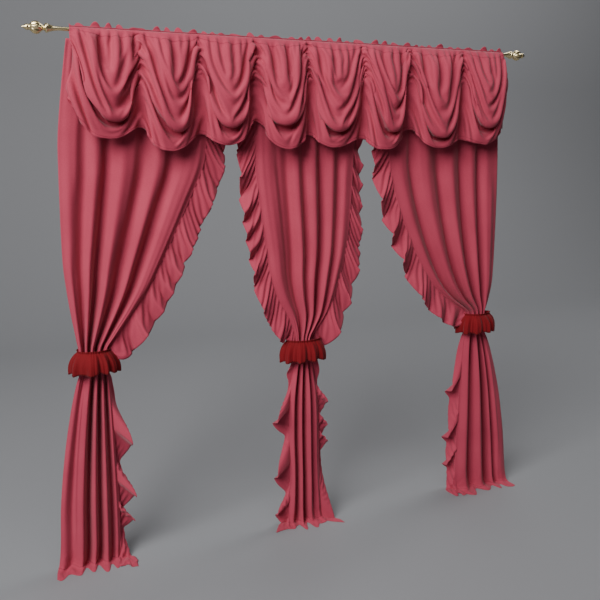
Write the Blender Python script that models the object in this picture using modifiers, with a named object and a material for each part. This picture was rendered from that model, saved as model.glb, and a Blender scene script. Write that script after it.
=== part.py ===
"""Curtain with valance: three tied curtain panels and a gathered balloon valance on a brass rod.

X runs along the rod, Y runs into the wall and Z runs up. The origin is the middle of the rod's axis.
Every length is in metres. A drop is a distance below the rod's axis, and forward is towards the room.
"""

import math
from collections import namedtuple

import bmesh
import bpy
import numpy as np

NAME = "curtain_with_valance"

# Rod and finials
ROD_RADIUS = 0.008
ROD_REACH = 1.127
FINIAL_GAP = 0.0003
ROUND_SIDES = 16

# Cloth
CLOTH = 0.0016
GAP = 0.0020
FLOOR_DROP = 2.450
LYING_DROP = FLOOR_DROP - CLOTH / 2
HEAD_DROP = 0.036
TIE_DROP = 1.450
# The folds are shallower near a panel's edges, and change to the lower ones behind its tie
EDGE_FLATNESS = 0.45
REGATHER_ABOVE = 0.03
REGATHER_BELOW = 0.07

# Frills: gathers across the strip, and the slower sway of its outer edge
FRILL_STEP = 0.038
GATHER_LENGTH = 0.135
GATHER_DEPTH = 0.020
SWAY_LENGTH = 0.225
SWAY_REACH = 0.022
CALM_AT_TIE = 0.16
CALM_AT_HEAD = 0.60

# Valance
POCKET_RADIUS = 0.0115
STITCH_DROP = 0.028
STITCH_HALF = 0.0020
HEADING_RISE = 0.030
HEADING_CROWN = 0.004
HEADING_UNEVEN = 0.15
HEADING_WAVE = 0.005
HEADING_ZIGZAG = 0.004
SWAG_ROUNDNESS = 2.2
COLUMNS_PER_SWAG = 6

Section = namedtuple("Section", "drop forward left right fold")
Fold = namedtuple("Fold", "across height")
Frill = namedtuple("Frill", "drop width back sag")
Swag = namedtuple("Swag", "start gather_drop cusp_drop middle bottom_drop pouf")
Panel = namedtuple("Panel", "sections folds low_folds")
Profile = namedtuple("Profile", "middle_forward middle_part gather_forward gather_part ripple")
Tie = namedtuple("Tie", "x top bottom inner_x inner_y flare flutes bunch")
TieLevel = namedtuple("TieLevel", "level flare")

# Each panel's outline from its head to its hem. At the end of each list the hem lies on the floor.
PANEL_LEFT = [
    Section(HEAD_DROP, -0.004, -1.083, -0.478, 0.000),
    Section(0.14, 0.000, -1.104, -0.480, 0.006),
    Section(0.30, 0.000, -1.135, -0.484, 0.014),
    Section(0.45, 0.002, -1.154, -0.495, 0.020),
    Section(0.58, 0.006, -1.160, -0.522, 0.027),
    Section(0.72, 0.010, -1.164, -0.588, 0.032),
    Section(0.86, 0.012, -1.167, -0.656, 0.036),
    Section(1.00, 0.012, -1.167, -0.727, 0.038),
    Section(1.12, 0.011, -1.158, -0.792, 0.040),
    Section(1.22, 0.009, -1.147, -0.862, 0.041),
    Section(1.30, 0.006, -1.136, -0.925, 0.042),
    Section(1.345, 0.004, -1.130, -0.960, 0.042),
    Section(1.378, 0.002, -1.125, -0.986, 0.042),
    Section(1.41, 0.001, -1.123, -0.996, 0.042),
    Section(1.45, 0.000, -1.123, -0.998, 0.042),
    Section(1.50, 0.001, -1.127, -0.997, 0.042),
    Section(1.56, 0.003, -1.146, -0.992, 0.042),
    Section(1.68, 0.006, -1.176, -0.988, 0.040),
    Section(1.88, 0.008, -1.214, -0.983, 0.038),
    Section(2.12, 0.010, -1.246, -0.980, 0.037),
    Section(2.32, 0.012, -1.260, -0.982, 0.036),
    Section(2.42, 0.018, -1.272, -0.986, 0.034),
    Section(LYING_DROP, 0.040, -1.284, -0.990, 0.030),
    Section(LYING_DROP, 0.084, -1.290, -0.996, 0.026),
]
FOLDS_LEFT = [
    Fold(0.000, 0.10), Fold(0.067, 0.80), Fold(0.173, -0.55), Fold(0.249, 0.65), Fold(0.325, -1.00),
    Fold(0.435, 0.90), Fold(0.574, -0.80), Fold(0.674, 0.70), Fold(0.763, -0.70), Fold(0.901, 0.85),
    Fold(1.000, 0.05),
]
LOW_FOLDS_LEFT = [
    Fold(0.000, 0.20), Fold(0.060, 0.45), Fold(0.190, -0.15), Fold(0.360, 0.70), Fold(0.480, -1.00),
    Fold(0.580, 0.80), Fold(0.670, -0.80), Fold(0.775, 0.85), Fold(0.875, -0.75), Fold(0.945, 0.50),
    Fold(1.000, 0.00),
]
FRILL_LEFT = [
    Frill(0.04, 0.094, 0.004, 0.000), Frill(0.45, 0.108, 0.004, 0.000), Frill(0.72, 0.122, -0.010, 0.004),
    Frill(1.00, 0.132, -0.014, 0.008), Frill(1.18, 0.134, -0.018, 0.014), Frill(1.28, 0.126, -0.022, 0.020),
    Frill(1.34, 0.086, -0.014, 0.012), Frill(1.378, 0.008, 0.018, 0.000), Frill(1.41, 0.008, 0.022, 0.000),
    Frill(1.45, 0.008, 0.022, 0.000), Frill(1.50, 0.010, 0.022, 0.000), Frill(1.56, 0.040, 0.010, 0.000),
    Frill(1.68, 0.066, -0.006, 0.000), Frill(2.12, 0.074, -0.008, 0.000), Frill(2.45, 0.064, -0.006, 0.000),
]

PANEL_CENTRE = [
    Section(HEAD_DROP, -0.004, -0.262, 0.262, 0.000),
    Section(0.14, 0.000, -0.264, 0.262, 0.006),
    Section(0.30, 0.000, -0.267, 0.260, 0.013),
    Section(0.45, 0.002, -0.270, 0.256, 0.018),
    Section(0.58, 0.006, -0.268, 0.250, 0.023),
    Section(0.72, 0.010, -0.255, 0.242, 0.026),
    Section(0.86, 0.012, -0.236, 0.231, 0.028),
    Section(1.00, 0.013, -0.214, 0.213, 0.030),
    Section(1.12, 0.013, -0.194, 0.184, 0.031),
    Section(1.22, 0.012, -0.158, 0.154, 0.032),
    Section(1.31, 0.010, -0.108, 0.116, 0.032),
    Section(1.38, 0.008, -0.078, 0.066, 0.032),
    Section(1.43, 0.006, -0.066, 0.030, 0.032),
    Section(1.49, 0.004, -0.064, 0.024, 0.032),
    Section(1.55, 0.006, -0.066, 0.026, 0.032),
    Section(1.63, 0.010, -0.080, 0.040, 0.032),
    Section(1.76, 0.013, -0.098, 0.058, 0.032),
    Section(1.95, 0.014, -0.102, 0.066, 0.031),
    Section(2.16, 0.015, -0.098, 0.070, 0.030),
    Section(2.34, 0.017, -0.104, 0.080, 0.029),
    Section(2.42, 0.022, -0.110, 0.088, 0.027),
    Section(LYING_DROP, 0.042, -0.118, 0.096, 0.022),
    Section(LYING_DROP, 0.078, -0.124, 0.104, 0.018),
]
FOLDS_CENTRE = [
    Fold(0.000, 0.05), Fold(0.110, 0.75), Fold(0.230, -0.35), Fold(0.312, -0.80), Fold(0.402, 0.75),
    Fold(0.480, -0.65), Fold(0.574, 0.80), Fold(0.657, -1.00), Fold(0.760, 0.85), Fold(0.844, -0.55),
    Fold(0.929, 0.50), Fold(1.000, 0.00),
]
LOW_FOLDS_CENTRE = [
    Fold(0.000, -0.10), Fold(0.130, 0.75), Fold(0.235, -0.55), Fold(0.280, -1.00), Fold(0.385, 0.70),
    Fold(0.505, -0.90), Fold(0.640, 0.90), Fold(0.765, -0.20), Fold(0.810, 0.10), Fold(0.850, 0.30),
    Fold(0.900, 0.55), Fold(1.000, -0.10),
]
FRILL_CENTRE_LEFT = [
    Frill(0.04, 0.090, 0.004, 0.000), Frill(0.45, 0.098, 0.002, 0.000), Frill(0.70, 0.084, 0.000, 0.002),
    Frill(1.00, 0.074, -0.004, 0.006), Frill(1.18, 0.084, -0.008, 0.010), Frill(1.29, 0.078, -0.014, 0.012),
    Frill(1.36, 0.056, -0.016, 0.010), Frill(1.41, 0.038, -0.012, 0.004), Frill(1.49, 0.032, -0.010, 0.000),
    Frill(1.56, 0.034, -0.012, 0.000), Frill(1.66, 0.058, -0.010, 0.000), Frill(2.12, 0.062, -0.008, 0.000),
    Frill(2.45, 0.062, -0.006, 0.000),
]
FRILL_CENTRE_RIGHT = [
    Frill(0.04, 0.046, 0.030, 0.000), Frill(0.45, 0.052, 0.030, 0.000), Frill(0.70, 0.064, 0.020, 0.002),
    Frill(1.00, 0.078, 0.006, 0.006), Frill(1.18, 0.088, 0.000, 0.010), Frill(1.31, 0.092, -0.008, 0.014),
    Frill(1.37, 0.072, -0.014, 0.010), Frill(1.41, 0.046, -0.012, 0.004), Frill(1.49, 0.040, -0.010, 0.000),
    Frill(1.56, 0.044, -0.012, 0.000), Frill(1.66, 0.062, -0.010, 0.000), Frill(2.12, 0.064, -0.008, 0.000),
    Frill(2.45, 0.072, -0.006, 0.000),
]

PANEL_RIGHT = [
    Section(HEAD_DROP, -0.004, 0.440, 1.098, 0.000),
    Section(0.14, 0.000, 0.443, 1.104, 0.006),
    Section(0.30, 0.000, 0.448, 1.112, 0.014),
    Section(0.45, 0.002, 0.451, 1.118, 0.020),
    Section(0.58, 0.006, 0.456, 1.122, 0.026),
    Section(0.72, 0.010, 0.490, 1.124, 0.031),
    Section(0.86, 0.012, 0.542, 1.125, 0.034),
    Section(1.00, 0.012, 0.608, 1.126, 0.037),
    Section(1.12, 0.011, 0.674, 1.126, 0.039),
    Section(1.22, 0.009, 0.748, 1.124, 0.040),
    Section(1.30, 0.006, 0.838, 1.112, 0.041),
    Section(1.345, 0.004, 0.912, 1.102, 0.042),
    Section(1.378, 0.002, 0.960, 1.092, 0.042),
    Section(1.41, 0.001, 0.966, 1.088, 0.042),
    Section(1.45, 0.000, 0.968, 1.088, 0.042),
    Section(1.50, 0.001, 0.966, 1.092, 0.042),
    Section(1.56, 0.003, 0.956, 1.120, 0.042),
    Section(1.68, 0.006, 0.948, 1.160, 0.040),
    Section(1.88, 0.008, 0.940, 1.212, 0.038),
    Section(2.12, 0.010, 0.934, 1.256, 0.037),
    Section(2.32, 0.012, 0.936, 1.280, 0.036),
    Section(2.42, 0.018, 0.942, 1.290, 0.034),
    Section(LYING_DROP, 0.040, 0.950, 1.300, 0.030),
    Section(LYING_DROP, 0.080, 0.958, 1.308, 0.026),
]
FOLDS_RIGHT = [
    Fold(0.000, 0.05), Fold(0.085, 0.75), Fold(0.184, -0.80), Fold(0.302, 0.80), Fold(0.435, -0.75),
    Fold(0.530, 0.90), Fold(0.645, -0.85), Fold(0.728, 0.75), Fold(0.817, -0.75), Fold(0.888, 0.60),
    Fold(1.000, 0.00),
]
LOW_FOLDS_RIGHT = [
    Fold(0.000, -0.10), Fold(0.150, 0.85), Fold(0.300, -0.90), Fold(0.450, 0.90), Fold(0.620, -1.00),
    Fold(0.705, 0.35), Fold(0.775, -0.70), Fold(0.850, 0.25), Fold(0.910, 0.35), Fold(0.955, 0.28),
    Fold(1.000, 0.10),
]
FRILL_RIGHT = [
    Frill(0.04, 0.086, 0.006, 0.000), Frill(0.45, 0.112, 0.006, 0.000), Frill(0.72, 0.098, -0.006, 0.002),
    Frill(1.00, 0.104, -0.010, 0.006), Frill(1.18, 0.118, -0.016, 0.014), Frill(1.28, 0.124, -0.022, 0.020),
    Frill(1.34, 0.086, -0.014, 0.012), Frill(1.378, 0.008, 0.018, 0.000), Frill(1.41, 0.008, 0.022, 0.000),
    Frill(1.45, 0.008, 0.022, 0.000), Frill(1.50, 0.010, 0.022, 0.000), Frill(1.56, 0.036, 0.010, 0.000),
    Frill(1.68, 0.064, -0.006, 0.000), Frill(2.12, 0.082, -0.008, 0.000), Frill(2.45, 0.072, -0.006, 0.000),
]

# One row per swag, from left to right. The last row only ends the last swag.
SWAGS = [
    Swag(-1.090, 0.150, 0.290, -0.030, 0.454, 0.94),
    Swag(-0.800, 0.208, 0.400, -0.022, 0.504, 1.05),
    Swag(-0.535, 0.152, 0.420, -0.028, 0.481, 1.00),
    Swag(-0.267, 0.177, 0.360, 0.008, 0.497, 1.05),
    Swag(-0.005, 0.156, 0.416, -0.036, 0.486, 0.96),
    Swag(0.284, 0.143, 0.438, -0.040, 0.500, 1.04),
    Swag(0.539, 0.128, 0.390, -0.006, 0.490, 1.06),
    Swag(0.852, 0.118, 0.436, -0.018, 0.474, 0.98),
    Swag(1.112, 0.150, 0.372, 0.000, 0.372, 0.00),
]
# The valance from the seam under the rod to its hem, at a swag's middle and at a gathered line.
PROFILES = [
    Profile(0.004, 0.00, 0.003, 0.00, 0.0012),
    Profile(0.024, 0.14, 0.015, 0.20, 0.0060),
    Profile(0.050, 0.29, 0.024, 0.42, 0.0070),
    Profile(0.076, 0.44, 0.030, 0.60, 0.0060),
    Profile(0.097, 0.57, 0.040, 0.70, 0.0040),
    Profile(0.110, 0.69, 0.050, 0.78, 0.0030),
    Profile(0.108, 0.78, 0.056, 0.85, 0.0020),
    Profile(0.090, 0.84, 0.060, 0.90, 0.0010),
    Profile(0.098, 0.91, 0.062, 0.95, 0.0015),
    Profile(0.088, 1.00, 0.060, 1.00, 0.0010),
]

# How far a tie's ruffle stands out at each level, from its top edge down
TIE_LEVELS = [TieLevel(0.00, 0.15), TieLevel(0.15, 0.06), TieLevel(0.45, 0.75), TieLevel(1.00, 1.00)]
TIE_GATHER = 0.004
TIE_OPENING = 0.008
TIES = {
    "tie_left": Tie(-1.056, 1.388, 1.492, 0.082, 0.060, 0.030, 14, 0.000),
    "tie_centre": Tie(-0.018, 1.438, 1.545, 0.099, 0.056, 0.026, 14, 0.000),
    "tie_right": Tie(1.024, 1.388, 1.492, 0.082, 0.060, 0.030, 14, 0.022),
}

# A finial's radius along its length, from the rod's end to its tip.
FINIAL_PROFILE = [
    (0.000, 0.0100), (0.020, 0.0115), (0.036, 0.0170), (0.042, 0.0190), (0.048, 0.0165), (0.055, 0.0105),
    (0.062, 0.0150), (0.072, 0.0220), (0.083, 0.0242), (0.096, 0.0210), (0.108, 0.0120), (0.118, 0.0120),
    (0.126, 0.0115), (0.141, 0.0000),
]

ROSE = (0.42, 0.10, 0.13, 1.0)
DARK_RED = (0.26, 0.012, 0.018, 1.0)
BRASS = (0.80, 0.58, 0.24, 1.0)


def clear_scene():
    for thing in list(bpy.data.objects):
        bpy.data.objects.remove(thing, do_unlink=True)


def plain_material(name, colour, roughness, metallic):
    material = bpy.data.materials.new(name)
    material.use_nodes = True
    shader = material.node_tree.nodes["Principled BSDF"]
    shader.inputs["Base Color"].default_value = colour
    shader.inputs["Roughness"].default_value = roughness
    shader.inputs["Metallic"].default_value = metallic
    return material


def through_rows(rows, place):
    """Blend the numbers of neighbouring rows with a smooth curve through each row."""
    rows = np.array(rows, dtype=float)
    index = min(int(place), len(rows) - 2)
    t = place - index
    before, here = rows[max(index - 1, 0)], rows[index]
    after, beyond = rows[index + 1], rows[min(index + 2, len(rows) - 1)]
    slope_here, slope_after = (after - before) / 2, (beyond - here) / 2
    return ((2 * t**3 - 3 * t**2 + 1) * here + (t**3 - 2 * t**2 + t) * slope_here
            + (3 * t**2 - 2 * t**3) * after + (t**3 - t**2) * slope_after)


def by_drop(rows, drop):
    """Read a table whose first column is the drop at one drop."""
    rows = np.array(rows, dtype=float)
    return [np.interp(drop, rows[:, 0], rows[:, column]) for column in range(1, rows.shape[1])]


def sheet(name, points, material, collection, closed=False):
    """A thin sheet of cloth through a grid of points, given as rows of points."""
    rows, columns = len(points), len(points[0])
    mesh = bpy.data.meshes.new(name)
    grid = bmesh.new()
    bmesh.ops.create_grid(grid, x_segments=columns - 1, y_segments=rows - 1, size=1.0)
    grid.verts.ensure_lookup_table()
    for index, vertex in enumerate(grid.verts):
        vertex.co = points[index // columns][index % columns]
    if closed:
        bmesh.ops.remove_doubles(grid, verts=grid.verts, dist=1e-6)
    grid.to_mesh(mesh)
    grid.free()
    mesh.shade_smooth()
    mesh.materials.append(material)
    piece = bpy.data.objects.new(name, mesh)
    collection.objects.link(piece)
    thickness = piece.modifiers.new("cloth thickness", "SOLIDIFY")
    thickness.thickness = CLOTH
    thickness.offset = 0.0
    return piece


def fold_height(folds, across):
    """The height of the folds at a place across the panel, rounded from each crest to each valley."""
    for here, after in zip(folds, folds[1:]):
        if across <= after.across:
            part = (across - here.across) / (after.across - here.across)
            return here.height + (after.height - here.height) * (1 - math.cos(math.pi * part)) / 2
    return folds[-1].height


def folds_at(folds, low_folds, drop):
    """The folds at one drop: the upper ones move over into the lower ones behind the tie."""
    start, end = TIE_DROP - REGATHER_ABOVE, TIE_DROP + REGATHER_BELOW
    part = min(1.0, max(0.0, (drop - start) / (end - start)))
    return [Fold(above.across + (below.across - above.across) * part,
                 above.height + (below.height - above.height) * part)
            for above, below in zip(folds, low_folds)]


def fold_columns(folds):
    """Columns on each crest and valley and halfway between them."""
    columns = [folds[0].across]
    for here, after in zip(folds, folds[1:]):
        columns += [(here.across + after.across) / 2, after.across]
    return columns


def panel_row(panel, place):
    """One row of points across a panel."""
    drop, forward, left, right, depth = through_rows(panel.sections, place)
    drop = min(drop, LYING_DROP)
    folds = folds_at(panel.folds, panel.low_folds, drop)
    row = []
    for across in fold_columns(folds):
        height = depth * (1 - EDGE_FLATNESS * abs(2 * across - 1) ** 3) * fold_height(folds, across)
        row.append((left + (right - left) * across, -forward - height, -drop))
    return row


def make_panel(name, panel, material, collection):
    points = [panel_row(panel, place) for place in range(len(panel.sections))]
    return sheet(name, points, material, collection)


def along(points):
    """Each corner of a seam and even steps between its corners, each with the length so far."""
    stations, length = [(0.0, points[0])], 0.0
    for here, after in zip(points, points[1:]):
        here, after = np.array(here), np.array(after)
        stretch = np.linalg.norm(after - here)
        parts = max(1, round(stretch / FRILL_STEP))
        for part in range(1, parts + 1):
            stations.append((length + stretch * part / parts, here + (after - here) * part / parts))
        length += stretch
    return stations


def make_frill(name, panel, edge, table, phase, material, collection):
    """A gathered strip sewn to one edge of a panel. Edge 0 is the panel's left side and 1 its right."""
    side = 2 * edge - 1
    seam = [panel_row(panel, place)[-edge] for place in range(len(panel.sections))]
    rows = []
    for length, (x, y, z) in along(seam):
        width, back, sag = by_drop(table, -z)
        uneven = phase + 0.9 * math.sin(5.3 * length + phase)
        gather = math.sin(2 * math.pi * length / GATHER_LENGTH + uneven)
        sway = math.sin(2 * math.pi * length / SWAY_LENGTH + 1.7 * phase)
        loose = min(1.0, max(0.12, abs(-z - TIE_DROP) / CALM_AT_TIE),
                    max(0.10, (-z - HEAD_DROP) / CALM_AT_HEAD))
        freedom = loose * (1.0 if -z > TIE_DROP else 0.45)
        row = []
        for across in (0.0, 0.5, 1.0):
            reach = across * (width + SWAY_REACH * freedom * sway)
            ripple = across * GATHER_DEPTH * loose * gather
            drop = min(-z + sag * across, LYING_DROP)
            row.append((x + side * (GAP + reach), y + back * across - ripple, -drop))
        rows.append(row)
    return sheet(name, rows, material, collection)


def swag_edges(index, part):
    """Numbers of the gathered line at the near side of a place in a swag, blended to the far side."""
    here, after = SWAGS[index], SWAGS[index + 1]
    return [here[field] + (after[field] - here[field]) * part for field in range(3)]


def heading_rows(across, high, wave):
    """The rod pocket and the standing frill above it, from the seam behind the rod to the one in front."""
    angles = (-20, 45)
    behind = [(POCKET_RADIUS * math.cos(math.radians(a)), POCKET_RADIUS * math.sin(math.radians(a)))
              for a in angles]
    top = HEADING_RISE * high
    shoulder = top - HEADING_CROWN
    rows = [(STITCH_HALF, -STITCH_DROP)] + behind
    rows += [(STITCH_HALF + wave, shoulder), (wave, top), (-STITCH_HALF + wave, shoulder)]
    rows += [(-y, z) for y, z in reversed(behind)]
    return [(across, y, z) for y, z in rows]


def valance_column(index, step):
    """One column of the valance from the back of its rod pocket over the rod and down to the hem."""
    part = step / COLUMNS_PER_SWAG
    x, _, cusp_drop = swag_edges(index, part)
    here = SWAGS[index]
    fullness = 1 - abs(2 * part - 1) ** SWAG_ROUNDNESS
    column_number = index * COLUMNS_PER_SWAG + step
    wave = HEADING_WAVE * math.sin(7.1 * column_number) + HEADING_ZIGZAG * (-1) ** step
    high = 1 - HEADING_UNEVEN * (1 - math.sin(2.3 * column_number + 0.6))
    column = heading_rows(x, high, wave)
    for profile in PROFILES:
        bottom = here.bottom_drop if fullness > 0 else cusp_drop
        middle = STITCH_DROP + profile.middle_part * (bottom - STITCH_DROP)
        gather = STITCH_DROP + profile.gather_part * (cusp_drop - STITCH_DROP)
        drop = gather + (middle - gather) * fullness
        forward = profile.gather_forward * (1 - fullness) + profile.middle_forward * here.pouf * fullness
        forward += profile.ripple * (-1) ** step
        shift = here.middle * fullness * profile.middle_part
        column.append((x + shift, -forward, -drop))
    return column


def make_valance(material, collection):
    columns = []
    for index in range(len(SWAGS) - 1):
        last = index == len(SWAGS) - 2
        columns += [valance_column(index, step) for step in range(COLUMNS_PER_SWAG + (1 if last else 0))]
    rows = [[column[row] for column in columns] for row in range(len(columns[0]))]
    return sheet("valance", rows, material, collection)


def make_tie(name, tie, material, collection):
    """A ruffled band round the gathered cloth: snug at its waist and flared at both edges."""
    rows = []
    for level, flare in TIE_LEVELS:
        row = []
        for step in range(2 * tie.flutes + 1):
            angle = math.pi * (step % (2 * tie.flutes)) / tie.flutes
            crest = step % 2
            spread = (TIE_GATHER + tie.flare * flare) * crest + TIE_OPENING * flare
            spread += tie.bunch * crest * max(0.0, math.cos(angle)) ** 4 * (1 - 0.6 * level)
            x = tie.x + (tie.inner_x + spread) * math.cos(angle)
            y = (tie.inner_y + spread) * math.sin(angle)
            z = -(tie.top + (tie.bottom - tie.top) * level) + TIE_GATHER * crest
            row.append((x, y, z))
        rows.append(row)
    return sheet(name, rows, material, collection, closed=True)


def make_rod(material, collection):
    mesh = bpy.data.meshes.new("rod")
    tube = bmesh.new()
    bmesh.ops.create_cone(tube, cap_ends=True, segments=ROUND_SIDES, radius1=ROD_RADIUS,
                          radius2=ROD_RADIUS, depth=2 * ROD_REACH)
    tube.to_mesh(mesh)
    tube.free()
    mesh.shade_smooth()
    mesh.set_sharp_from_angle(angle=math.radians(40))
    mesh.materials.append(material)
    rod = bpy.data.objects.new("rod", mesh)
    rod.rotation_euler = (0.0, math.pi / 2, 0.0)
    collection.objects.link(rod)
    return rod


def make_finial(name, side, material, collection):
    """A turned finial that stands off the rod's end by the gap of a push fit."""
    mesh = bpy.data.meshes.new(name)
    outline = [(0.0, 0.0)] + FINIAL_PROFILE
    mesh.from_pydata([(radius, 0.0, length) for length, radius in reversed(outline)],
                     [(i, i + 1) for i in range(len(outline) - 1)], [])
    mesh.materials.append(material)
    finial = bpy.data.objects.new(name, mesh)
    collection.objects.link(finial)
    turn = finial.modifiers.new("turned shape", "SCREW")
    turn.steps = turn.render_steps = ROUND_SIDES
    turn.use_merge_vertices = True
    turn.merge_threshold = 0.0001
    finial.location = (side * (ROD_REACH + FINIAL_GAP), 0.0, 0.0)
    finial.rotation_euler = (0.0, side * math.pi / 2, 0.0)
    return finial


def main():
    clear_scene()
    collection = bpy.data.collections.new(NAME)
    bpy.context.scene.collection.children.link(collection)
    cloth = plain_material("rose cloth", ROSE, 0.85, 0.0)
    band = plain_material("dark red cloth", DARK_RED, 0.8, 0.0)
    brass = plain_material("brass", BRASS, 0.25, 1.0)

    make_rod(brass, collection)
    make_finial("finial_left", -1, brass, collection)
    make_finial("finial_right", 1, brass, collection)
    make_valance(cloth, collection)

    left = Panel(PANEL_LEFT, FOLDS_LEFT, LOW_FOLDS_LEFT)
    centre = Panel(PANEL_CENTRE, FOLDS_CENTRE, LOW_FOLDS_CENTRE)
    right = Panel(PANEL_RIGHT, FOLDS_RIGHT, LOW_FOLDS_RIGHT)
    make_panel("panel_left", left, cloth, collection)
    make_panel("panel_centre", centre, cloth, collection)
    make_panel("panel_right", right, cloth, collection)
    make_frill("frill_left", left, 1, FRILL_LEFT, 0.4, cloth, collection)
    make_frill("frill_centre_left", centre, 0, FRILL_CENTRE_LEFT, 1.9, cloth, collection)
    make_frill("frill_centre_right", centre, 1, FRILL_CENTRE_RIGHT, 3.1, cloth, collection)
    make_frill("frill_right", right, 0, FRILL_RIGHT, 4.6, cloth, collection)

    for name, tie in TIES.items():
        make_tie(name, tie, band, collection)


main()
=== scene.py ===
"""Dressing of the curtain with valance: fine cloth, brass, light, floor and camera.

Lengths are in metres. X runs along the rod, Y runs into the wall and Z runs up from the rod's axis.
A drop is a distance below the rod's axis. Across runs from 0 to 1 between a panel's two side edges.
"""

import math
from collections import namedtuple

import bmesh
import bpy
import numpy as np
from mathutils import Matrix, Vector


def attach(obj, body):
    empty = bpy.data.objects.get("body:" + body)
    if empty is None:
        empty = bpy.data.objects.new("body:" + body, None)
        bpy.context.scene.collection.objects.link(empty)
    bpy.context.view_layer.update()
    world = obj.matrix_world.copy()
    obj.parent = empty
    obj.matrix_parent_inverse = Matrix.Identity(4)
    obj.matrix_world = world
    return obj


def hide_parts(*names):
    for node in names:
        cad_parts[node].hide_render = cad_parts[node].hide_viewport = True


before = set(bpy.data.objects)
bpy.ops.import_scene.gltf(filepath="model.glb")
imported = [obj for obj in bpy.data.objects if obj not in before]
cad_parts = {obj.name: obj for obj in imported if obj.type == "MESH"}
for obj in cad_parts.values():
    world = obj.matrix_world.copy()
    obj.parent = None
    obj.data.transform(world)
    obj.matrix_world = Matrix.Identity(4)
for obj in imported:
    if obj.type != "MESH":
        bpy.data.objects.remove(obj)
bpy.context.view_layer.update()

# Sizes shared by the pieces
FLOOR_DROP = 2.450
ROD_REACH = 1.127
FINIAL_GAP = 0.0003
HEAD_DROP = 0.036
STITCH_DROP = 0.028
CLOTH = 0.0010
LYING_DROP = FLOOR_DROP - CLOTH

# Radii of the rod pocket behind the rod and in front of it, and of the swags' heads over it
POCKET_BACK = 0.0112
POCKET_FRONT = 0.0095
SWAG_HEAD = 0.0128
# The valance comes no further forward than the first, and the frills go no further back than the second
FORWARD_LIMIT = -0.1270
BACK_LIMIT = 0.085

# The rows of the tables below hold, in this order:
# a panel's section: its drop, how far it stands forward, its left and right edges, its folds' depth
# a fold: its place across, and its height from 1 on a crest to -1 in a valley
# a crease: its place across, width, depth, top, bottom and lean
# a frill's row: its drop, how wide it shows, how far it stands back
# a frill's leaf below the tie: where it starts down the seam, how far it reaches
Panel = namedtuple("Panel", "sections folds low_folds creases tie_drop phase")
Frill = namedtuple("Frill", "panel edge rows tie_drop slope weight phase")
Swag = namedtuple("Swag", "start gather_drop cusp_drop middle bottom_drop pouf roll_drop skew gathers")
Tie = namedtuple("Tie", "x top bottom inner_x inner_y flare bunch")
Stitch = namedtuple("Stitch", "step size")

PANEL_LEFT = [
    (HEAD_DROP, -0.004, -1.095, -0.478, 0.000),
    (0.14, 0.000, -1.112, -0.480, 0.006),
    (0.30, 0.000, -1.136, -0.484, 0.014),
    (0.45, 0.002, -1.154, -0.495, 0.020),
    (0.58, 0.006, -1.160, -0.522, 0.027),
    (0.72, 0.010, -1.164, -0.588, 0.032),
    (0.86, 0.012, -1.167, -0.656, 0.036),
    (1.00, 0.012, -1.167, -0.727, 0.038),
    (1.12, 0.011, -1.158, -0.792, 0.040),
    (1.22, 0.009, -1.147, -0.862, 0.041),
    (1.30, 0.006, -1.136, -0.925, 0.042),
    (1.345, 0.004, -1.130, -0.960, 0.042),
    (1.378, 0.002, -1.125, -0.986, 0.042),
    (1.41, 0.001, -1.123, -0.996, 0.042),
    (1.45, 0.000, -1.123, -0.998, 0.042),
    (1.50, 0.001, -1.127, -0.997, 0.042),
    (1.56, 0.003, -1.146, -0.992, 0.042),
    (1.68, 0.006, -1.176, -0.988, 0.040),
    (1.88, 0.008, -1.214, -0.983, 0.038),
    (2.12, 0.010, -1.246, -0.980, 0.037),
    (2.32, 0.012, -1.260, -0.982, 0.036),
    (2.42, 0.018, -1.272, -0.986, 0.034),
    (LYING_DROP, 0.040, -1.284, -0.990, 0.030),
    (LYING_DROP, 0.084, -1.290, -0.996, 0.026),
]
FOLDS_LEFT = [
    (0.000, 0.10), (0.067, 0.80), (0.173, -0.55), (0.249, 0.65), (0.325, -1.00), (0.435, 0.90),
    (0.574, -0.80), (0.674, 0.70), (0.763, -0.70), (0.901, 0.85), (1.000, 0.05),
]
LOW_FOLDS_LEFT = [
    (0.000, 0.20), (0.060, 0.45), (0.190, -0.15), (0.360, 0.70), (0.480, -1.00), (0.580, 0.80),
    (0.670, -0.80), (0.775, 0.85), (0.875, -0.75), (0.945, 0.50), (1.000, 0.00),
]
CREASES_LEFT = [
    (0.12, 0.022, 0.006, 0.10, 0.75, 0.00), (0.29, 0.020, 0.006, 0.30, 1.10, 0.00),
    (0.50, 0.026, 0.008, 0.05, 0.90, 0.02), (0.61, 0.020, 0.007, 0.55, 1.42, -0.02),
    (0.72, 0.020, 0.006, 0.10, 0.80, 0.00), (0.83, 0.024, 0.009, 0.45, 1.42, 0.02),
    (0.40, 0.018, -0.006, 0.80, 1.60, 0.00), (0.10, 0.024, -0.006, 0.90, 1.60, 0.00),
    (0.95, 0.018, 0.007, 0.30, 1.30, 0.00), (0.22, 0.026, 0.008, 1.50, 2.44, 0.03),
    (0.55, 0.028, 0.010, 1.50, 2.44, -0.03), (0.80, 0.024, -0.008, 1.50, 2.30, 0.02),
]
FRILL_LEFT = [
    (0.04, 0.094, 0.004), (0.45, 0.108, 0.004), (0.72, 0.122, -0.010), (1.00, 0.132, -0.014),
    (1.18, 0.134, -0.018), (1.28, 0.126, -0.026), (1.34, 0.098, -0.026), (1.385, 0.034, -0.006),
    (1.41, 0.008, 0.020), (1.45, 0.008, 0.022), (1.50, 0.010, 0.022), (1.56, 0.040, 0.010),
    (1.68, 0.066, -0.006), (2.12, 0.074, -0.008), (2.45, 0.064, -0.006),
]

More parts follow.
